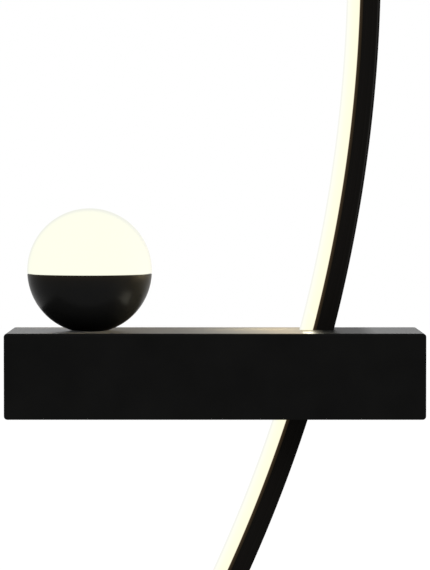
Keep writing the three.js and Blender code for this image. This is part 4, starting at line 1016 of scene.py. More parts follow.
def earth_jacket():
    """Green insulation with a yellow stripe along either side."""
    jacket = Nodes("earth_jacket", Metallic=0.0, Roughness=0.42, IOR=1.5)
    aside = jacket.maths("ABSOLUTE", jacket.minus(jacket.axes()[0], EARTH_STUD.x))
    stripe = jacket.spread(aside, 0.0, 1.0, *STRIPE_EDGE)
    jacket.set(Base_Color=jacket.blend(stripe, EARTH_GREEN, EARTH_YELLOW))
    jacket.bump(jacket.noise(size=0.4 * MM), strength=0.08, distance=0.03 * MM)
    return jacket


SURFACES = (
    black_paint(), black_paint_bowl(), black_anodised(), opal_bar(), opal_dome(), zinc(),
    light_tape(), light_board(), driver_board_finish(), earth_jacket(),
    brushed("aluminium", ALUMINIUM_TONES),
    brushed("turned_aluminium", ALUMINIUM_TONES, is_turned=True),
    brushed("brass", BRASS_TONES),
    moulded("black_plastic", BLACK_TONES, 0.5, ior=1.15),
    moulded("white_plastic", WHITE_TONES, 0.45),
    moulded("white_board", WHITE_BOARD_TONES, 0.4),
    moulded("green_board", GREEN_BOARD_TONES, 0.4),
    moulded("rubber", RUBBER_TONES, 0.75, ior=1.3, bump=0.2),
    moulded("pad_silicone", SILICONE_TONES, 0.7, ior=1.35),
    moulded("lead_jacket", JACKET_TONES, 0.5, grain_size=0.4 * MM),
)
MATERIALS = {surface.name: surface.material for surface in SURFACES}

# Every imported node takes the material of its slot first
for part in frame["record"]["subparts"]:
    node_mesh = frame["nodes"][part["node"]].data
    node_mesh.materials.clear()
    node_mesh.materials.append(MATERIALS.get(part["material_slot"], MATERIALS["opal_bar"]))


# Housing

SLOT_STEPS = 16


def housing_shell():
    """A folded box, open towards the wall, with softened front edges."""
    width, height, back = BOX_HIGH.x - BOX_LOW.x, BOX_HIGH.z - BOX_LOW.z, BOX_HIGH.y
    edge = HOUSING_FRONT_EDGE
    levels = [(edge - x, edge - z) for x, z in arc(edge, 0, QUARTER)]
    rings = []
    for deep, inset in (*levels, (back - BOX_LOW.y, 0)):
        outline = rounded_rectangle(width - 2 * inset, height - 2 * inset, HOUSING_EDGE - inset)
        rings.append([(x, BOX_LOW.y + deep, z) for x, z in outline])
    inner = rounded_rectangle(2 * INNER_SIDE, 2 * INNER_TOP, HOUSING_EDGE - HOUSING_WALL)
    return cut(loft(rings), prism(inner, "y", INNER_FRONT, back + PAST))


def bow_slots():
    reach = BOX_HIGH.z + PAST
    angles = [
        math.asin((level - BOW_MIDDLE_Z) / radius)
        for radius in (BOW_RADIUS, BOW_RADIUS - DIFFUSER_EDGE) for level in (-reach, reach)
    ]
    return bow_sweep(bar_outline(SLOT_CLEARANCE), min(angles), max(angles), SLOT_STEPS)


def housing():
    tools = [bow_slots(), hole(NIPPLE_HOLE, INNER_TOP, BOX_HIGH.z, GLOBE_AXIS)]
    studs = [stud(EARTH_STUD_RADIUS, EARTH_STUD_LENGTH, (HOUSING_EARTH.x, HOUSING_EARTH.y, -INNER_TOP), "up")]
    for way, label, side, inwards in (("right", "upper", 1, "down"), ("left", "lower", -1, "up")):
        radius = SIDE_SCREW_RADIUS + GAP
        tools.append(hole(radius, INNER_SIDE, BOX_HIGH.x, (0, -SIDE_SCREW_SETBACK, 0), way))
        nut = centre("bar_cleat_nut_" + label)
        studs += [
            stud(STUD_RADIUS, STUD_LENGTH, (centre("driver_nut_" + way).x, INNER_FRONT, 0), "back"),
            stud(STUD_RADIUS, STUD_LENGTH, (nut.x, nut.y, side * INNER_TOP), inwards),
        ]
    return join(soften(cut(housing_shell(), *tools), EDGE / 2), *studs)


finish(housing(), "housing")
for way in ("right", "left"):
    finish_screw("housing_side_screw_" + way, way, SIDE_SCREW_RADIUS, SIDE_SCREW_HEAD)


# Light bar

def channel_section():
    groove_near = BAR_WIDTH - GROOVE_SETBACK
    groove_far = groove_near - GROOVE_WIDTH
    wall_inner = HALF_DEPTH - CHANNEL_WALL
    groove_floor = wall_inner + GROOVE_DEPTH
    lip_start = BAR_WIDTH - CHANNEL_LIP_LENGTH
    return bar_section([
        *corner(HALF_DEPTH - CHANNEL_CORNER, CHANNEL_CORNER, CHANNEL_CORNER, QUARTER, 0),
        *corner(HALF_DEPTH - EDGE, lip_start - EDGE, EDGE, 0, -QUARTER, 3),
        (DIFFUSER_HALF, lip_start), (DIFFUSER_HALF, BAR_WIDTH - EDGE), (DIFFUSER_HALF - EDGE, BAR_WIDTH),
        (wall_inner, BAR_WIDTH), (wall_inner, groove_near), (groove_floor, groove_near),
        (groove_floor, groove_far), (wall_inner, groove_far), (wall_inner, CHANNEL_WEB),
    ])


def diffuser_section():
    shoulder = BAR_WIDTH + GAP
    leg_end = BAR_WIDTH - DIFFUSER_LEG_LENGTH
    hook_margin = (GROOVE_WIDTH - DIFFUSER_HOOK) / 4
    hook_near = BAR_WIDTH - GROOVE_SETBACK - hook_margin
    hook_far = BAR_WIDTH - GROOVE_SETBACK - GROOVE_WIDTH + hook_margin
    hook_reach = LEG_OUTER + DIFFUSER_HOOK
    fillet = DIFFUSER_HOOK
    inner_face = DIFFUSER_EDGE - DIFFUSER_FACE
    face_corner = (DIFFUSER_HALF - DIFFUSER_CORNER, DIFFUSER_EDGE - DIFFUSER_CORNER)
    return bar_section([
        *corner(LEG_INNER - fillet, inner_face - fillet, fillet, -QUARTER, 0, 4),
        (LEG_INNER, leg_end), (LEG_OUTER, leg_end), (LEG_OUTER, hook_far), (hook_reach, hook_far),
        (hook_reach, hook_near), (LEG_OUTER, hook_near), (LEG_OUTER, shoulder), (DIFFUSER_HALF, shoulder),
        *corner(*face_corner, DIFFUSER_CORNER, 0, -QUARTER),
    ])


# Both ends of the bar, with the way that their pieces stand, and the screws at each
BAR_ENDS = {1: ("top", "up"), -1: ("bottom", "down")}
CAP_SCREWS = {"rear": BAR_MIDDLE - CAP_SCREW_SPACING / 2, "front": BAR_MIDDLE + CAP_SCREW_SPACING / 2}


def at_bar_end(make, side):
    """Solids at the places of both screws at one end of the bar."""
    inward, way = CHANNEL_WEB / 2, BAR_ENDS[side][1]
    angle = side * BOW_HALF_ANGLE
    return [put_on_bow(make(), angle, forward, inward, way) for forward in CAP_SCREWS.values()]


def bar_channel():
    front = BAR_SETBACK + BAR_DEPTH
    spot = (LEAD_HOLE.x, 0, LEAD_HOLE.z)
    holes = [hole(LEAD_HOLE_RADIUS, front - CHANNEL_WALL, front, spot, "front")]
    for label in ("upper", "lower"):
        middle = centre("bar_cleat_screw_" + label)
        radius, far = CLEAT_SCREW_RADIUS + GAP, BAR_SETBACK + CHANNEL_WALL
        holes.append(hole(radius, BAR_SETBACK, far, (middle.x, 0, middle.z), "front"))
    for side in BAR_ENDS:
        holes += at_bar_end(lambda: rod(CAP_SCREW_RADIUS + GAP, -CAP_SCREW_LENGTH, PAST), side)
    return cut(bow_sweep(channel_section(), -BOW_HALF_ANGLE, BOW_HALF_ANGLE, BOW_SEGMENTS), gather(holes))


def chip(width, length, window):
    """A small body with a sunk, glowing window."""
    body = prism(rounded_rectangle(width, length, EDGE), "z", -SINK, CHIP_HEIGHT)
    return cut(body, window)


def tape_chip():
    window = rounded_rectangle(CHIP_WIDTH - 3 * EDGE, CHIP_LENGTH - 3 * EDGE, 2 * EDGE)
    return chip(CHIP_WIDTH, CHIP_LENGTH, prism(window, "z", CHIP_HEIGHT - EDGE, CHIP_HEIGHT + PAST))


def bar_tape():
    near = CHANNEL_WEB + GAP
    far = near + TAPE_THICKNESS
    end = BOW_HALF_ANGLE - TAPE_END_INSET / BOW_RADIUS
    strip = bow_sweep(bar_section([(TAPE_WIDTH / 2, near), (TAPE_WIDTH / 2, far)]), -end, end, BOW_SEGMENTS)
    count = math.floor(2 * end * BOW_RADIUS / CHIP_PITCH)
    angles = [(i - (count - 1) / 2) * CHIP_PITCH / BOW_RADIUS for i in range(count)]
    return join(strip, gather([put_on_bow(tape_chip(), angle, BAR_MIDDLE, far, "front") for angle in angles]))


def bar_end_cap(side):
    """A cap with a hollow plug that fits between the legs of the diffuser."""
    near = BOW_HALF_ANGLE + GAP / BOW_RADIUS
    far = near + CAP_THICKNESS / BOW_RADIUS
    plug_start = BOW_HALF_ANGLE - CAP_PLUG_LENGTH / BOW_RADIUS
    half, low, high = LEG_INNER - GAP, CHANNEL_WEB + GAP, DIFFUSER_EDGE - DIFFUSER_FACE - GAP
    wall = CAP_PLUG_WALL

    def part_of_cap(section, start, end):
        return bow_sweep(section, *sorted((side * start, side * end)))

    face = soften(part_of_cap(bar_outline(0), near, far), EDGE)
    plug = part_of_cap(bar_section([(half, low), (half, high)]), plug_start, near + SINK / BOW_RADIUS)
    inner = bar_section([(half - wall, low + wall), (half - wall, high - wall)])
    pocket = part_of_cap(inner, plug_start - PAST / BOW_RADIUS, near)
    holes = at_bar_end(lambda: hole(CAP_SCREW_RADIUS + GAP, 0, CAP_THICKNESS), side)
    return cut(join(face, plug), pocket, *holes)


def bar_end_screw():
    piece = screw(CAP_SCREW_RADIUS, CAP_SCREW_LENGTH - GAP, CAP_SCREW_HEAD)
    return place(piece, (0, 0, CAP_THICKNESS + 2 * GAP))


def bar_cleat(label, way):
    """A folded angle: one leg against the bar, the other against the housing."""
    low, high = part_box("bar_cleat_" + label)
    side = math.copysign(1, low.z)
    foot, seat = sorted((abs(low.z), abs(high.z)))
    leg, fold = low.y + CLEAT_SHEET, seat - CLEAT_SHEET
    bend = (leg + CLEAT_SHEET, fold - CLEAT_SHEET)
    inner = moved(arc(CLEAT_SHEET, 2 * QUARTER, QUARTER), *bend)
    outer = moved(arc(2 * CLEAT_SHEET, QUARTER, 2 * QUARTER), *bend)
    profile = [(low.y, foot), (leg, foot), *inner, (high.y, fold), (high.y, seat), *outer]
    angle = prism([(y, side * z) for y, z in profile], "x", low.x, high.x)
    nut, fixing = centre("bar_cleat_nut_" + label), centre("bar_cleat_screw_" + label)
    return soften(cut(
        angle,
        hole(STUD_HOLE, fold, seat, (nut.x, nut.y, 0), way),
        hole(CLEAT_SCREW_RADIUS + GAP, -leg, -low.y, (fixing.x, 0, fixing.z), "front"),
    ), EDGE)


def grommet(node, barrel, wall, flange, thickness):
    """A sleeve with a rounded flange in front, in its node's box."""
    start, front = node_seat(node, "front")
    bore, face, edge = barrel - wall, front - thickness, thickness / 3
    profile = [
        (bore, 0), (barrel, 0), (barrel, face), (flange - edge, face),
        *moved(arc(edge, -QUARTER, QUARTER), flange - edge, face + edge)[1:],
        (flange - 2 * edge, front), (bore + edge, front), (bore, front - edge),
    ]
    return place(revolve(profile), start, "front")


finish(bar_channel(), "bar_channel")
diffuser = bow_sweep(diffuser_section(), -BOW_HALF_ANGLE, BOW_HALF_ANGLE, BOW_SEGMENTS)
finish(diffuser, "bar_diffuser", "opal_bar")
finish(bar_tape(), "bar_led_tape", "light_tape")
for side, (end, _) in BAR_ENDS.items():
    finish(bar_end_cap(side), "bar_end_cap_" + end)
    for label, piece in zip(CAP_SCREWS, at_bar_end(bar_end_screw, side)):
        finish(piece, f"bar_end_cap_screw_{end}_{label}")
for label, way in (("upper", "up"), ("lower", "down")):
    finish(bar_cleat(label, way), "bar_cleat_" + label)
    finish_screw("bar_cleat_screw_" + label, "back", CLEAT_SCREW_RADIUS, SCREW_HEAD)
    finish_nut("bar_cleat_nut_" + label, way, NUT_WIDTH, STUD_RADIUS)
finish(grommet(
    "bar_lead_grommet", LEAD_HOLE_RADIUS - GAP, GROMMET_WALL,
    LEAD_HOLE_RADIUS + GROMMET_FLANGE, GROMMET_FLANGE,
), "bar_lead_grommet")


# Wall bracket

def bracket_strip():
    low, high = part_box("wall_bracket")
    middle = (high.x - BRACKET_BEND, -BRACKET_BEND)
    right = [(high.x, -BRACKET_TAB_DEPTH), *moved(arc(BRACKET_BEND, 0, QUARTER), *middle)]
    inner_turn = moved(arc(BRACKET_BEND - BRACKET_SHEET, QUARTER, 0), *middle)
    right_inner = [*inner_turn, (high.x - BRACKET_SHEET, -BRACKET_TAB_DEPTH)]
    left, left_inner = ([(-x, y) for x, y in reversed(half)] for half in (right, right_inner))
    return prism([*right, *left, *left_inner, *right_inner], "z", low.z, high.z)


def wall_bracket():
    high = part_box("wall_bracket")[1]
    length, width = BRACKET_SLOT
    radius = width / 2 - EDGE / 9
    sheet = (-BRACKET_SHEET - PAST, PAST)
    tools = []
    for side, way in ((1, "right"), (-1, "left")):
        barrel, spot = TAB_NUT_BARREL + GAP, (0, -SIDE_SCREW_SETBACK, 0)
        tools += [
            prism(rounded_rectangle(length, width, radius, side * BRACKET_SLOT_X), "y", *sheet),
            prism(rounded_rectangle(width, length, radius, side * BOX_SLOT_X), "y", *sheet),
            hole(barrel, high.x - BRACKET_SHEET, high.x, spot, way),
        ]
    deep = (BRACKET_TAB_DEPTH - BRACKET_BEND) / 2
    rest = (high.z - BRACKET_TAB_HEIGHT / 2 + PAST) / 2
    for up in (1, -1):
        middle = (-BRACKET_BEND - deep - PAST / 2, up * (BRACKET_TAB_HEIGHT / 2 + rest))
        notch = rounded_rectangle(2 * deep + PAST, 2 * rest, EDGE, *middle)
        tools.append(prism(notch, "x", -high.x - PAST, high.x + PAST))
    tools += [
        hole(CABLE_HOLE, 0, BRACKET_SHEET, (centre("cable_bushing").x, 0, 0), "front", CABLE_HOLE_SEGMENTS),
        hole(SCREW_RADIUS + GAP, 0, BRACKET_SHEET, (TERMINAL.x, 0, 0), "front"),
    ]
    foot = (EARTH_STUD.x, -BRACKET_SHEET, EARTH_STUD.z)
    earth_stud = stud(EARTH_STUD_RADIUS, EARTH_STUD_LENGTH, foot, "front")
    return join(soften(cut(bracket_strip(), *tools), EDGE), earth_stud)


def tab_nut(node, way):
    """A rivet nut: a round flange inside the tab and a threaded barrel through it."""
    start, total = node_seat(node, way)
    bore = SIDE_SCREW_RADIUS + GAP
    flange, barrel, height = TAB_NUT_FLANGE, TAB_NUT_BARREL, TAB_NUT_HEIGHT
    profile = [
        (bore + EDGE, 0), (flange - EDGE, 0), (flange, EDGE), (flange, height - EDGE),
        (flange - EDGE, height), (barrel, height), (barrel, total - EDGE), (barrel - EDGE, total),
        (bore + EDGE, total), *thread(bore, total - EDGE, EDGE, NUT_PITCH),
    ]
    return place(revolve(profile), start, way)


finish(wall_bracket(), "wall_bracket")
for way in ("right", "left"):
    finish(tab_nut("bracket_tab_nut_" + way, way), "bracket_tab_nut_" + way)
finish(grommet(
    "cable_bushing", CABLE_HOLE - GAP, BUSHING_WALL, CABLE_HOLE + BUSHING_FLANGE, BUSHING_FLANGE_THICKNESS,
), "cable_bushing")


# Terminal block

WAIST_NOTCH = (TERMINAL_WAIST, 2 * TERMINAL_WAIST, TERMINAL_WAIST / 2.1)
POLES = (-TERMINAL_PITCH / 2, TERMINAL_PITCH / 2)
TOWERS = [(x, z) for x in POLES for z in (-TERMINAL_TOWER_SPACING / 2, TERMINAL_TOWER_SPACING / 2)]


def front_rod(radius, low, high, x=0, z=0, segments=ROD_SEGMENTS):
    """A rod that stands forward from the back of the terminal block."""
    return place(rod(radius, low, high, segments), (TERMINAL.x + x, TERMINAL_HIGH.y, z), "front")


def clamp_wells(top):
    radius = CONTACT_SCREW_RADIUS + GAP
    return gather([front_rod(radius, CONTACT_HEIGHT, top, x, z, WELL_SEGMENTS) for x, z in TOWERS])


def terminal_block():
    low, high = TERMINAL_LOW, TERMINAL_HIGH
    length, tall = high.z - low.z, high.y - low.y
    outline = rounded_rectangle(high.x - low.x, length, EDGE * 3, TERMINAL.x)
    notches = [rounded_rectangle(*WAIST_NOTCH, TERMINAL.x, side * length / 2) for side in (-1, 1)]
    base = cut(
        prism(outline, "y", high.y - TERMINAL_BASE, high.y),
        *[prism(notch, "y", low.y, high.y + PAST) for notch in notches],
    )
    towers = [
        soften(front_rod(TERMINAL_TOWER, TERMINAL_BASE - PAST, tall, x, z), EDGE)
        for x, z in TOWERS
    ]
    radius = CONTACT_RADIUS + GAP
    bores = [hole(radius, -length / 2, length / 2, (TERMINAL.x + x, CONTACT_Y, 0)) for x in POLES]
    fixing = front_rod(SCREW_RADIUS + GAP, -PAST, TERMINAL_BASE + PAST)
    return cut(join(soften(base, EDGE), *towers), clamp_wells(tall + PAST), *bores, fixing)


def terminal_contact(node):
    half = CONTACT_LENGTH / 2
    sleeve = place(tube(CONTACT_RADIUS, CONTACT_BORE, -half, half), (centre(node).x, CONTACT_Y, 0))
    return cut(soften(sleeve, EDGE), clamp_wells(TERMINAL_BASE))


def clamp_screw(node):
    """A headless screw with a slot across its front end."""
    start, length = node_seat(node, "front")
    tip, reach = CONTACT_SCREW_RADIUS - EDGE, CONTACT_SCREW_RADIUS + PAST
    grub = revolve([
        (0, 0), (tip, 0), *thread(CONTACT_SCREW_RADIUS, EDGE, length - EDGE), (tip, length), (0, length),
    ])
    slot = [(-reach, -EDGE), (reach, -EDGE), (reach, EDGE), (-reach, EDGE)]
    return place(recess(grub, slot, length - 4 * EDGE, length), start, "front")


finish(terminal_block(), "terminal_block")
for way in ("left", "right"):
    finish(terminal_contact("terminal_contact_" + way), "terminal_contact_" + way)
for number in range(1, 5):
    node = f"terminal_clamp_screw_{number}"
    finish(clamp_screw(node), node)
finish_screw("terminal_fixing_screw", "front", SCREW_RADIUS, FIXING_HEAD)


# Light driver

def at_driver(width, height, radius):
    return rounded_rectangle(width, height, radius, DRIVER_X)


def driver_case():
    base, wall = DRIVER_BASE, DRIVER_WALL
    ear_length, ear_height, ear_thickness = DRIVER_EAR
    shell = prism(at_driver(DRIVER_LENGTH, DRIVER_HEIGHT, wall), "y", base, DRIVER_BACK)
    ears = at_driver(DRIVER_LENGTH + 2 * ear_length, ear_height, ear_height / 4)
    case = soften(join(shell, prism(ears, "y", base, base + ear_thickness)), EDGE)
    room = at_driver(DRIVER_LENGTH - 2 * wall, DRIVER_HEIGHT - 2 * wall, wall / 2)
    tools = [prism(room, "y", base + wall, DRIVER_BACK + PAST)]
    for way, end, radius in (("right", DRIVER_HIGH.x, WIRE_RADIUS), ("left", DRIVER_LOW.x, LEAD_RADIUS)):
        tools.append(hole(STUD_HOLE, 0, ear_thickness, (centre("driver_nut_" + way).x, base, 0), "back"))
        for z in (DRIVER_LEAD_Z, -DRIVER_LEAD_Z):
            tools.append(hole(radius + 2 * GAP, -wall, 0, (end, DRIVER_LEAD_Y, z), way))
    inset = wall + DRIVER_POST_RADIUS - SINK
    far_x, far_z = DRIVER_LENGTH / 2 - inset, DRIVER_HEIGHT / 2 - inset
    posts = []
    for x, z in ((far_x, far_z), (-far_x, far_z), (-far_x, -far_z), (far_x, -far_z)):
        post = rod(DRIVER_POST_RADIUS, wall - SINK, wall + DRIVER_POST_HEIGHT)
        posts.append(place(post, (DRIVER_X + x, base, z), "back"))
    return join(cut(case, *tools), *posts)


def driver_lid():
    wall, seat = DRIVER_WALL, DRIVER_HIGH.y - DRIVER_LID
    cover = prism(at_driver(DRIVER_LENGTH, DRIVER_HEIGHT, wall), "y", seat, DRIVER_HIGH.y)
    width, height = DRIVER_LENGTH - 2 * wall - 2 * GAP, DRIVER_HEIGHT - 2 * wall - 2 * GAP
    lip = prism(at_driver(width, height, wall / 2), "y", DRIVER_LOW.y, seat + SINK)
    room = at_driver(width - 2 * wall, height - 2 * wall, wall / 2)
    return cut(join(soften(cover, 2 * EDGE), lip), prism(room, "y", DRIVER_LOW.y - PAST, seat))


# The parts on the driver's board, as shares of its half length and half height: blocks from low to high
# across and up, and cans with their middle and radius
BLOCKS = (((-0.05, 0.4), (-0.8, 0.75)), ((-0.45, -0.15), (-0.2, 0.7)), ((0.5, 0.62), (0.1, 0.8)))
CANS = ((0.8, -0.35, 0.4), (-0.72, 0.1, 0.33), (-0.35, -0.6, 0.22))


def driver_board():
    """The board with a transformer, a filter, a bridge and three capacitors."""
    low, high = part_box("driver_board")
    face = low.y + DRIVER_BOARD
    margin = DRIVER_WALL + DRIVER_BOARD_MARGIN
    span_x, span_z = DRIVER_LENGTH / 2 - margin, DRIVER_HEIGHT / 2 - margin
    board = prism(at_driver(2 * span_x, 2 * span_z, DRIVER_WALL / 2), "y", low.y, face)
    parts = []
    for i, (across, up) in enumerate(BLOCKS):
        size = (across[1] - across[0]) * span_x, (up[1] - up[0]) * span_z
        middle = (DRIVER_X + sum(across) / 2 * span_x, sum(up) / 2 * span_z)
        outline = rounded_rectangle(*size, 2 * EDGE, *middle)
        parts.append(soften(prism(outline, "y", face - SINK, high.y - i * DRIVER_WALL), EDGE))
    height = high.y - face
    groove = height - 2 * PAST
    for across, up, share in CANS:
        radius = share * span_z
        can = revolve([
            (0, -SINK), (radius, -SINK), (radius, groove - EDGE), (radius - EDGE, groove),
            (radius, groove + EDGE), (radius, height - EDGE), (radius - EDGE, height),
            (radius - 3 * EDGE, height), (radius - 3 * EDGE, height - EDGE), (0, height - EDGE),
        ])
        parts.append(place(can, (DRIVER_X + across * span_x, face, up * span_z), "back"))
    return join(board, gather(parts))


finish(driver_case(), "driver_case")
finish(driver_lid(), "driver_lid")
finish(driver_board(), "driver_board", "driver_board")
for way in ("right", "left"):
    finish_nut("driver_nut_" + way, "back", NUT_WIDTH, STUD_RADIUS)


# Globe

def globe_bowl():
    inner = GLOBE_RADIUS - BOWL_WALL
    floor_z = -FOOT_DROP + BOWL_WALL
    outer_start = math.atan2(-FOOT_DROP, GLOBE_FOOT)
    outer_end = -math.asin((GLOBE_SPLIT + EDGE) / GLOBE_RADIUS)
    shell = revolve([
        (NIPPLE_HOLE, -FOOT_DROP), *arc(GLOBE_RADIUS, outer_start, outer_end, GLOBE_STEPS),
        (GLOBE_RADIUS * math.cos(outer_end) - EDGE, -GLOBE_SPLIT), (BOWL_SEAT, -GLOBE_SPLIT),
        *arc(inner, -math.acos(BOWL_SEAT / inner), math.asin(floor_z / inner), GLOBE_STEPS),
        (NIPPLE_HOLE, floor_z),
    ], GLOBE_SEGMENTS)
    lug_top = PLATE_TOP_Z - PLATE_THICKNESS - GAP - GLOBE_CENTRE.z
    reach = GLOBE_RADIUS - PLATE_SCREW_CIRCLE

    def lug():
        outline = rounded_rectangle(reach + LUG_REACH, LUG_WIDTH, 2 * EDGE, (reach - LUG_REACH) / 2)
        return soften(prism(outline, "z", lug_top - LUG_HEIGHT, lug_top), EDGE)

    def lug_hole():
        return rod(SCREW_RADIUS + GAP, lug_top - PLATE_SCREW_LENGTH, lug_top + PAST)

    ball = revolve(arc(GLOBE_RADIUS - BOWL_WALL / 2, -QUARTER, QUARTER, GLOBE_STEPS)[1:-1], GLOBE_SEGMENTS)
    lugs = boolean(gather(ring(lug, PLATE_SCREW_CIRCLE, 3)), ball, "INTERSECT")
    return place(cut(join(shell, lugs), gather(ring(lug_hole, PLATE_SCREW_CIRCLE, 3))), GLOBE_CENTRE)


def globe_dome():
    inner = GLOBE_RADIUS - DOME_WALL
    neck_outer = BOWL_SEAT - GAP
    neck_inner = neck_outer - DOME_NECK_WALL
    shoulder = -GLOBE_SPLIT + GAP
    neck_end = -GLOBE_SPLIT - DOME_NECK_DEPTH
    outer_start = math.asin((shoulder + EDGE) / GLOBE_RADIUS)
    return place(revolve([
        (0, inner), *arc(inner, QUARTER, math.acos(neck_inner / inner), GLOBE_STEPS)[1:],
        (neck_inner, neck_end + EDGE), (neck_inner + EDGE, neck_end), (neck_outer - EDGE, neck_end),
        (neck_outer, neck_end + EDGE), (neck_outer, shoulder),
        (GLOBE_RADIUS * math.cos(outer_start) - EDGE, shoulder),
        *arc(GLOBE_RADIUS, outer_start, QUARTER, GLOBE_STEPS)[:-1], (0, GLOBE_RADIUS),
    ], GLOBE_SEGMENTS), GLOBE_CENTRE)


def globe_layer(node, top=None):
    """A round disc with the lead's hole and the board screws' holes through it."""
    low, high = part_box(node)
    top = top or high.z
    disc = soften(rod((high.x - low.x) / 2, low.z, top, GLOBE_SEGMENTS), EDGE / 2)
    holes = ring(lambda: hole(BOARD_SCREW_RADIUS + GAP, low.z, top), BOARD_SCREW_CIRCLE, 2, QUARTER)
    return cut(disc, gather([*holes, hole(LEAD_RADIUS + 2 * GAP, low.z, top)]))


def globe_plate():
    low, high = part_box("globe_led_plate")
    holes = ring(lambda: hole(SCREW_RADIUS + GAP, low.z, high.z), PLATE_SCREW_CIRCLE, 3)
    return cut(globe_layer("globe_led_plate"), gather(holes))


def board_chip():
    window = rod(BOARD_CHIP / 2 - 2 * EDGE, CHIP_HEIGHT - EDGE, CHIP_HEIGHT + PAST)
    return place(chip(BOARD_CHIP, BOARD_CHIP, window), (0, 0, BOARD_TOP_Z))


def globe_board():
    chips = [piece for radius, count in BOARD_RINGS for piece in ring(board_chip, radius, count)]
    return join(globe_layer("globe_led_board", BOARD_TOP_Z), gather(chips))


# One tooth of the lock washer, with a slanted flank: shares of its pitch, and of its depth
WASHER_FLANKS = ((0, 1), (0.12, 0), (0.5, 0), (0.62, 1))


def lock_washer():
    low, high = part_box("globe_lock_washer")
    outline = []
    for i in range(WASHER_TEETH):
        for share, depth in WASHER_FLANKS:
            angle = (i + share) * 4 * QUARTER / WASHER_TEETH
            reach = (high.x - low.x) / 2 - depth * WASHER_TOOTH
            outline.append((reach * math.cos(angle), reach * math.sin(angle)))
    disc = soften(prism(outline, "z", low.z, high.z), EDGE / 3)
    return cut(disc, hole(NIPPLE_HOLE, low.z, high.z))


def globe_nipple():
    start, length = node_seat("globe_nipple", "up")
    edge = 2 * EDGE
    tip = NIPPLE_RADIUS - edge
    profile = [
        (NIPPLE_BORE, 0), (tip, 0), *thread(NIPPLE_RADIUS, edge, length - edge), (tip, length),
        (NIPPLE_BORE, length),
    ]
    return place(revolve(profile), start)


finish(globe_bowl(), "globe_bowl", "black_paint_bowl")
finish(globe_dome(), "globe_dome", "opal_dome")
finish(place(globe_plate(), GLOBE_AXIS), "globe_led_plate", "turned_aluminium")
finish(place(globe_layer("globe_thermal_pad"), GLOBE_AXIS), "globe_thermal_pad")
finish(place(globe_board(), GLOBE_AXIS), "globe_led_board", "light_board")
for number in range(1, 4):
    finish_screw(f"globe_plate_screw_{number}", "up", SCREW_RADIUS, SCREW_HEAD)
for number in range(1, 3):
    finish_screw(f"globe_board_screw_{number}", "up", BOARD_SCREW_RADIUS, BOARD_SCREW_HEAD)
finish(globe_nipple(), "globe_nipple")
for node in ("globe_bowl_nut", "globe_lock_nut"):
    finish_nut(node, "up", NIPPLE_NUT_WIDTH, NIPPLE_RADIUS)
finish(place(lock_washer(), GLOBE_AXIS), "globe_lock_washer")


# Leads

SADDLE_STEPS = 16


def globe_lead():
    x, y = GLOBE_AXIS.x, GLOBE_AXIS.y
    entry, bottom, away = DRIVER_LOW.x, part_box("globe_nipple")[0].z, LEAD_BEND
    return lead(LEAD_RADIUS, [
        (x, y, BOARD_TOP_Z + LEAD_RADIUS),
        (x, y, GLOBE_CENTRE.z - FOOT_DROP + BOWL_WALL),
        (x, y, bottom),
        (x, y - away / 2, bottom - GLOBE_LEAD_SAG),
        (x + away / 2, DRIVER_LEAD_Y + away, DRIVER_LEAD_Z - LEAD_RADIUS),
        (entry - away, DRIVER_LEAD_Y, DRIVER_LEAD_Z),
        (entry, DRIVER_LEAD_Y, DRIVER_LEAD_Z),
        (entry + away, DRIVER_LEAD_Y, DRIVER_LEAD_Z),
    ])


def bar_lead():
    x, hole_z, front = LEAD_HOLE.x, LEAD_HOLE.z, -BAR_SETBACK - BAR_DEPTH
    entry, entry_y, away, back = DRIVER_LOW.x, DRIVER_LEAD_Y, LEAD_BEND, LEAD_BACK
    right, left = (centre("bar_lead_clip_" + way) for way in ("right", "left"))
    z = right.z
    return lead(LEAD_RADIUS, [
        (x, front + CHANNEL_WALL + 2 * LEAD_RADIUS, hole_z),
        (x, front, hole_z),
        (x, front - away / 2, hole_z),
        (x - away, front - 1.6 * away, (hole_z + z) / 2),
        (x - 3 * away, back, z),
        (right.x, back, z),
        (left.x, back, z),
        (entry + away / 2, back, z),
        (entry - away, back - away / 3, z),
        (entry - 1.7 * away, (back + entry_y) / 2, z),
        (entry - away, entry_y + away / 3, z),
        (entry - away / 3, entry_y, z),
        (entry + away / 3, entry_y, z),
        (entry + away, entry_y, z),
    ])


def lead_clip(node):
    """A stick-on saddle over the lead, with a smooth back."""
    low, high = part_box(node)
    middle_z = centre(node).z
    bore = LEAD_RADIUS + GAP
    reach, foot = bore + CLIP_WALL, (high.z - low.z) / 2
    left = [(-foot, 0), (-foot, CLIP_WALL / 2), (-reach, CLIP_WALL)]
    over = moved(arc(reach, 2 * QUARTER, 0, SADDLE_STEPS), 0, LEAD_BACK - low.y)
    outline = [*left, *over, *[(-x, y) for x, y in reversed(left)]]
    block = prism([(low.y + up, middle_z + across) for across, up in outline], "x", low.x, high.x)
    return cut(soften(block, EDGE), hole(bore, low.x, high.x, (0, LEAD_BACK, middle_z), "right"))


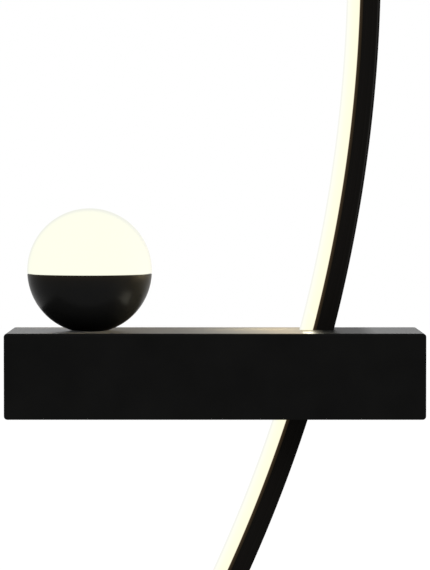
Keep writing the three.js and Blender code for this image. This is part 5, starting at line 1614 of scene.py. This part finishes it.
def mains_wire(which):
    """One of the two cores from the driver to the terminal block."""
    exit_x, back, entry_y, away, bend = DRIVER_HIGH.x, DRIVER_HIGH.y, DRIVER_LEAD_Y, LEAD_BEND, WIRE_BEND
    block_end = TERMINAL_HIGH.z + bend
    x = TERMINAL.x + POLES[1 - which]
    z = (DRIVER_LEAD_Z, -DRIVER_LEAD_Z)[which]
    apart = which * WIRE_SPACING
    return lead(WIRE_RADIUS, [
        (exit_x - away, entry_y, z),
        (exit_x, entry_y, z),
        (exit_x + away / 2, entry_y, z),
        (exit_x + away + apart, entry_y + away + apart, z + bend / 2),
        (exit_x + apart, back + 2 * away + apart, block_end - bend / 2 + apart),
        (DRIVER_X, back + 3 * away + apart, block_end + apart),
        (x + 2 * bend, CONTACT_Y - bend, block_end + apart),
        (x, CONTACT_Y, block_end + apart - bend / 2),
        (x, CONTACT_Y, TERMINAL_HIGH.z - bend),
    ])


# The two ring terminals of the earth lead: the way that each ring faces, the way of its barrel, the ring's
# place, and how far the barrel is from the ring's face
EYES = (
    ("front", "down", Vector((EARTH_STUD.x, -BRACKET_SHEET - GAP, EARTH_STUD.z)),
     Vector((0, -EARTH_BARREL_RADIUS, 0))),
    ("up", "back", Vector((EARTH_STUD.x, HOUSING_EARTH.y, -INNER_TOP + GAP)),
     Vector((0, 0, EARTH_BARREL_RADIUS))),
)


def earth_eye(way, barrel_way, spot, shift):
    """A ring terminal and its crimped barrel."""
    eye = soften(tube(EARTH_RING_RADIUS, EARTH_STUD_RADIUS + GAP, 0, EARTH_RING_THICKNESS), EDGE / 2)
    start = EARTH_RING_RADIUS - SINK
    end = start + EARTH_BARREL_LENGTH
    radius, bell = EARTH_BARREL_RADIUS, EARTH_BARREL_RADIUS - EDGE
    barrel = revolve([
        (0, start), (bell, start), (radius, start + EDGE), (radius, start + PAST), (bell, start + 2 * PAST),
        (bell, end - 2 * PAST), (radius, end - PAST), (radius, end), (0, end),
    ])
    return join(place(eye, spot, way), place(barrel, spot + shift, barrel_way))


def earth_wire():
    (_, _, upper, outward), (_, _, lower, upward) = EYES
    reach = EARTH_RING_RADIUS - SINK + EARTH_BARREL_LENGTH
    start = upper + outward - Vector((0, 0, reach))
    end = lower + upward + Vector((0, reach, 0))
    x = start.x
    return lead(WIRE_RADIUS, [
        (x, start.y, start.z + EARTH_BARREL_RADIUS),
        (x, start.y - SINK, start.z),
        (x, (end.y + upper.y) / 2, (start.z + end.z) / 2),
        tuple(end),
        (x, end.y - EARTH_BARREL_RADIUS, end.z),
    ])


finish(globe_lead(), "globe_lead")
finish(bar_lead(), "bar_lead")
for way in ("right", "left"):
    finish(lead_clip("bar_lead_clip_" + way), "bar_lead_clip_" + way)
for which, label in enumerate(("upper", "lower")):
    finish(mains_wire(which), "driver_mains_wire_" + label)
finish(join(earth_wire(), *[earth_eye(*eye) for eye in EYES]), "earth_lead")
for node, way in (("earth_nut_bracket", "front"), ("earth_nut_housing", "up")):
    finish_nut(node, way, EARTH_NUT_WIDTH, EARTH_STUD_RADIUS)


# Stage, light and camera

WHITE = (1.0, 1.0, 1.0)
FLOOR_DROP = 0.55
FLOOR_RADIUS = 16
FLOOR_SEGMENTS = 96
FLOOR_TONE = 0.86
FLOOR_LIFT = 0.42
WORLD_LIGHT = 0.7

# The soft lamps: place, aim, size and power
KEY = ((-1.6, -2.2, 1.8), (0, 0, 0.2), (1.6, 1.6), 28)
FILL = ((2.4, -1.6, 0.9), (0, 0, 0.2), (1.4, 1.8), 12)

# The small lamps that stand in for the bar's light
GLOW_COLOUR = (1.0, 0.8, 0.45)
SHINE_COLOUR = (1.0, 0.97, 0.8)
GLOW_POWER = 0.4
GLOW_HEIGHT = 70 * MM
GLOW_RISE = 4 * MM
GLOW_GAP = 2 * MM
FOOT_POWER = 0.06
FOOT_HEIGHT = 20 * MM
FOOT_SPREAD = math.radians(70)
SHINE_POWER = 0.005
SHINE_HEIGHT = 30 * MM
SHINE_WIDTH = 6.5 * MM
SHINE_GAP = 1 * MM
BOUNCE_POWER = 0.015
BOUNCE_SIZE = (30 * MM, 20 * MM)
BOUNCE_ASIDE = 57 * MM
BOUNCE_INSET = 14 * MM
BOUNCE_LIFT = 0.5 * MM

CAMERA_DISTANCE = 1.891
CAMERA_HEIGHT = 0.12
FRAME_HEIGHT_PX = 570
FRAME_MIDDLE_PY = 285
PRINCIPAL_PY = 186
FOCAL_PX = 3010
SENSOR_MM = 36


def seen_rays(tree):
    """One for rays from the camera and for those by reflection or through glass, else zero."""
    path = tree.nodes.new("ShaderNodeLightPath")
    total = path.outputs["Is Camera Ray"]
    for name in ("Is Glossy Ray", "Is Transmission Ray"):
        either = tree.nodes.new("ShaderNodeMath")
        either.operation = "MAXIMUM"
        tree.links.new(total, either.inputs[0])
        tree.links.new(path.outputs[name], either.inputs[1])
        total = either.outputs["Value"]
    return total


def floor():
    """A pale floor that is seen as white where nothing shades it."""
    work = bmesh.new()
    bmesh.ops.create_circle(work, cap_ends=True, radius=FLOOR_RADIUS, segments=FLOOR_SEGMENTS)
    ground = place(new_object(work), (0, 0, cad_low.z - FLOOR_DROP))
    ground.name = "floor"
    tone = (FLOOR_TONE, FLOOR_TONE, FLOOR_TONE)
    pale = Nodes("floor_pale", Roughness=0.95, Specular_IOR_Level=0.0, Base_Color=tone, Emission_Color=WHITE)
    pale.set(Emission_Strength=pale.times(seen_rays(pale.tree), FLOOR_LIFT))
    ground.data.materials.append(pale.material)


def world():
    """White for the camera and in reflections, and a plain soft level of light on the object."""
    sky = bpy.data.worlds.new("studio")
    bpy.context.scene.world = sky
    sky.use_nodes = True
    tree = sky.node_tree
    tree.nodes.clear()
    output = tree.nodes.new("ShaderNodeOutputWorld")
    mix = tree.nodes.new("ShaderNodeMixShader")
    tree.links.new(seen_rays(tree), mix.inputs["Fac"])
    for socket, strength in zip(mix.inputs[1:], (WORLD_LIGHT, 1.0)):
        background = tree.nodes.new("ShaderNodeBackground")
        background.inputs["Color"].default_value = (*WHITE, 1)
        background.inputs["Strength"].default_value = strength
        tree.links.new(background.outputs["Background"], socket)
    tree.links.new(mix.outputs["Shader"], output.inputs["Surface"])


def soft_lamp(name, spot, aim, size, power, colour=WHITE):
    data = bpy.data.lights.new(name, "AREA")
    data.shape = "RECTANGLE"
    data.size, data.size_y = size
    data.energy = power
    data.color = colour
    lamp = bpy.data.objects.new(name, data)
    lamp.location = spot
    lamp.rotation_euler = (Vector(aim) - Vector(spot)).to_track_quat("-Z", "Y").to_euler()
    bpy.context.scene.collection.objects.link(lamp)
    return lamp


def small_lamp(name, spot, way, *values):
    """A lamp that faces a way and that the camera doesn't see."""
    lamp = soft_lamp(name, spot, spot + Vector(way), *values)
    lamp.visible_camera = False
    return lamp


def bar_light():
    """The bar's light on the globe and on its own foot, and what the housing's top sends up to the bowl."""
    spot = DIFFUSER_FOOT + Vector((-GLOW_GAP, 0, GLOW_RISE + GLOW_HEIGHT / 2))
    small_lamp("bar_glow", spot, (-1, 0, 0), (GLOW_HEIGHT, BAR_DEPTH), GLOW_POWER, GLOW_COLOUR)

    spot = DIFFUSER_FOOT + Vector((FOOT_HEIGHT * math.sin(-FOOT_SLOPE) / 2, 0, FOOT_HEIGHT / 2))
    foot = small_lamp("foot_glow", spot, (-1, 0, -1), (FOOT_HEIGHT, BAR_DEPTH), FOOT_POWER, GLOW_COLOUR)
    foot.data.spread = FOOT_SPREAD
    foot.visible_glossy = False

    spot = on_bow(BAR_SETBACK + BAR_DEPTH + SHINE_GAP, SHINE_WIDTH / 2 - DIFFUSER_EDGE, FOOT_SLOPE)
    spot += Vector((-math.sin(FOOT_SLOPE), 0, math.cos(FOOT_SLOPE))) * SHINE_HEIGHT / 2
    shine = small_lamp("bar_shine", spot, (0, -1, 0), (SHINE_WIDTH, SHINE_HEIGHT), SHINE_POWER, SHINE_COLOUR)
    leaning = Quaternion((0, 1, 0), -FOOT_SLOPE) @ shine.rotation_euler.to_quaternion()
    shine.rotation_euler = leaning.to_euler()

    spot = Vector((GLOBE_X + BOUNCE_ASIDE, BOX_LOW.y + BOUNCE_INSET, BOX_HIGH.z + BOUNCE_LIFT))
    small_lamp("top_bounce", spot, (0, 0, 1), BOUNCE_SIZE, BOUNCE_POWER, SHINE_COLOUR)


def camera():
    data = bpy.data.cameras.new("camera")
    data.sensor_width = SENSOR_MM
    data.lens = FOCAL_PX * SENSOR_MM / FRAME_HEIGHT_PX
    data.clip_start = 0.05
    data.clip_end = 200
    view_point = bpy.data.objects.new("camera", data)
    view_point.location = (0, BOX_LOW.y - CAMERA_DISTANCE, CAMERA_HEIGHT)
    pitch = math.atan((FRAME_MIDDLE_PY - PRINCIPAL_PY) / FOCAL_PX)
    view_point.rotation_euler = (QUARTER - pitch, 0, 0)
    bpy.context.scene.collection.objects.link(view_point)
    bpy.context.scene.camera = view_point


floor()
world()
soft_lamp("key", *KEY)
soft_lamp("fill", *FILL)
bar_light()
camera()
bpy.context.scene.view_settings.view_transform = "Standard"
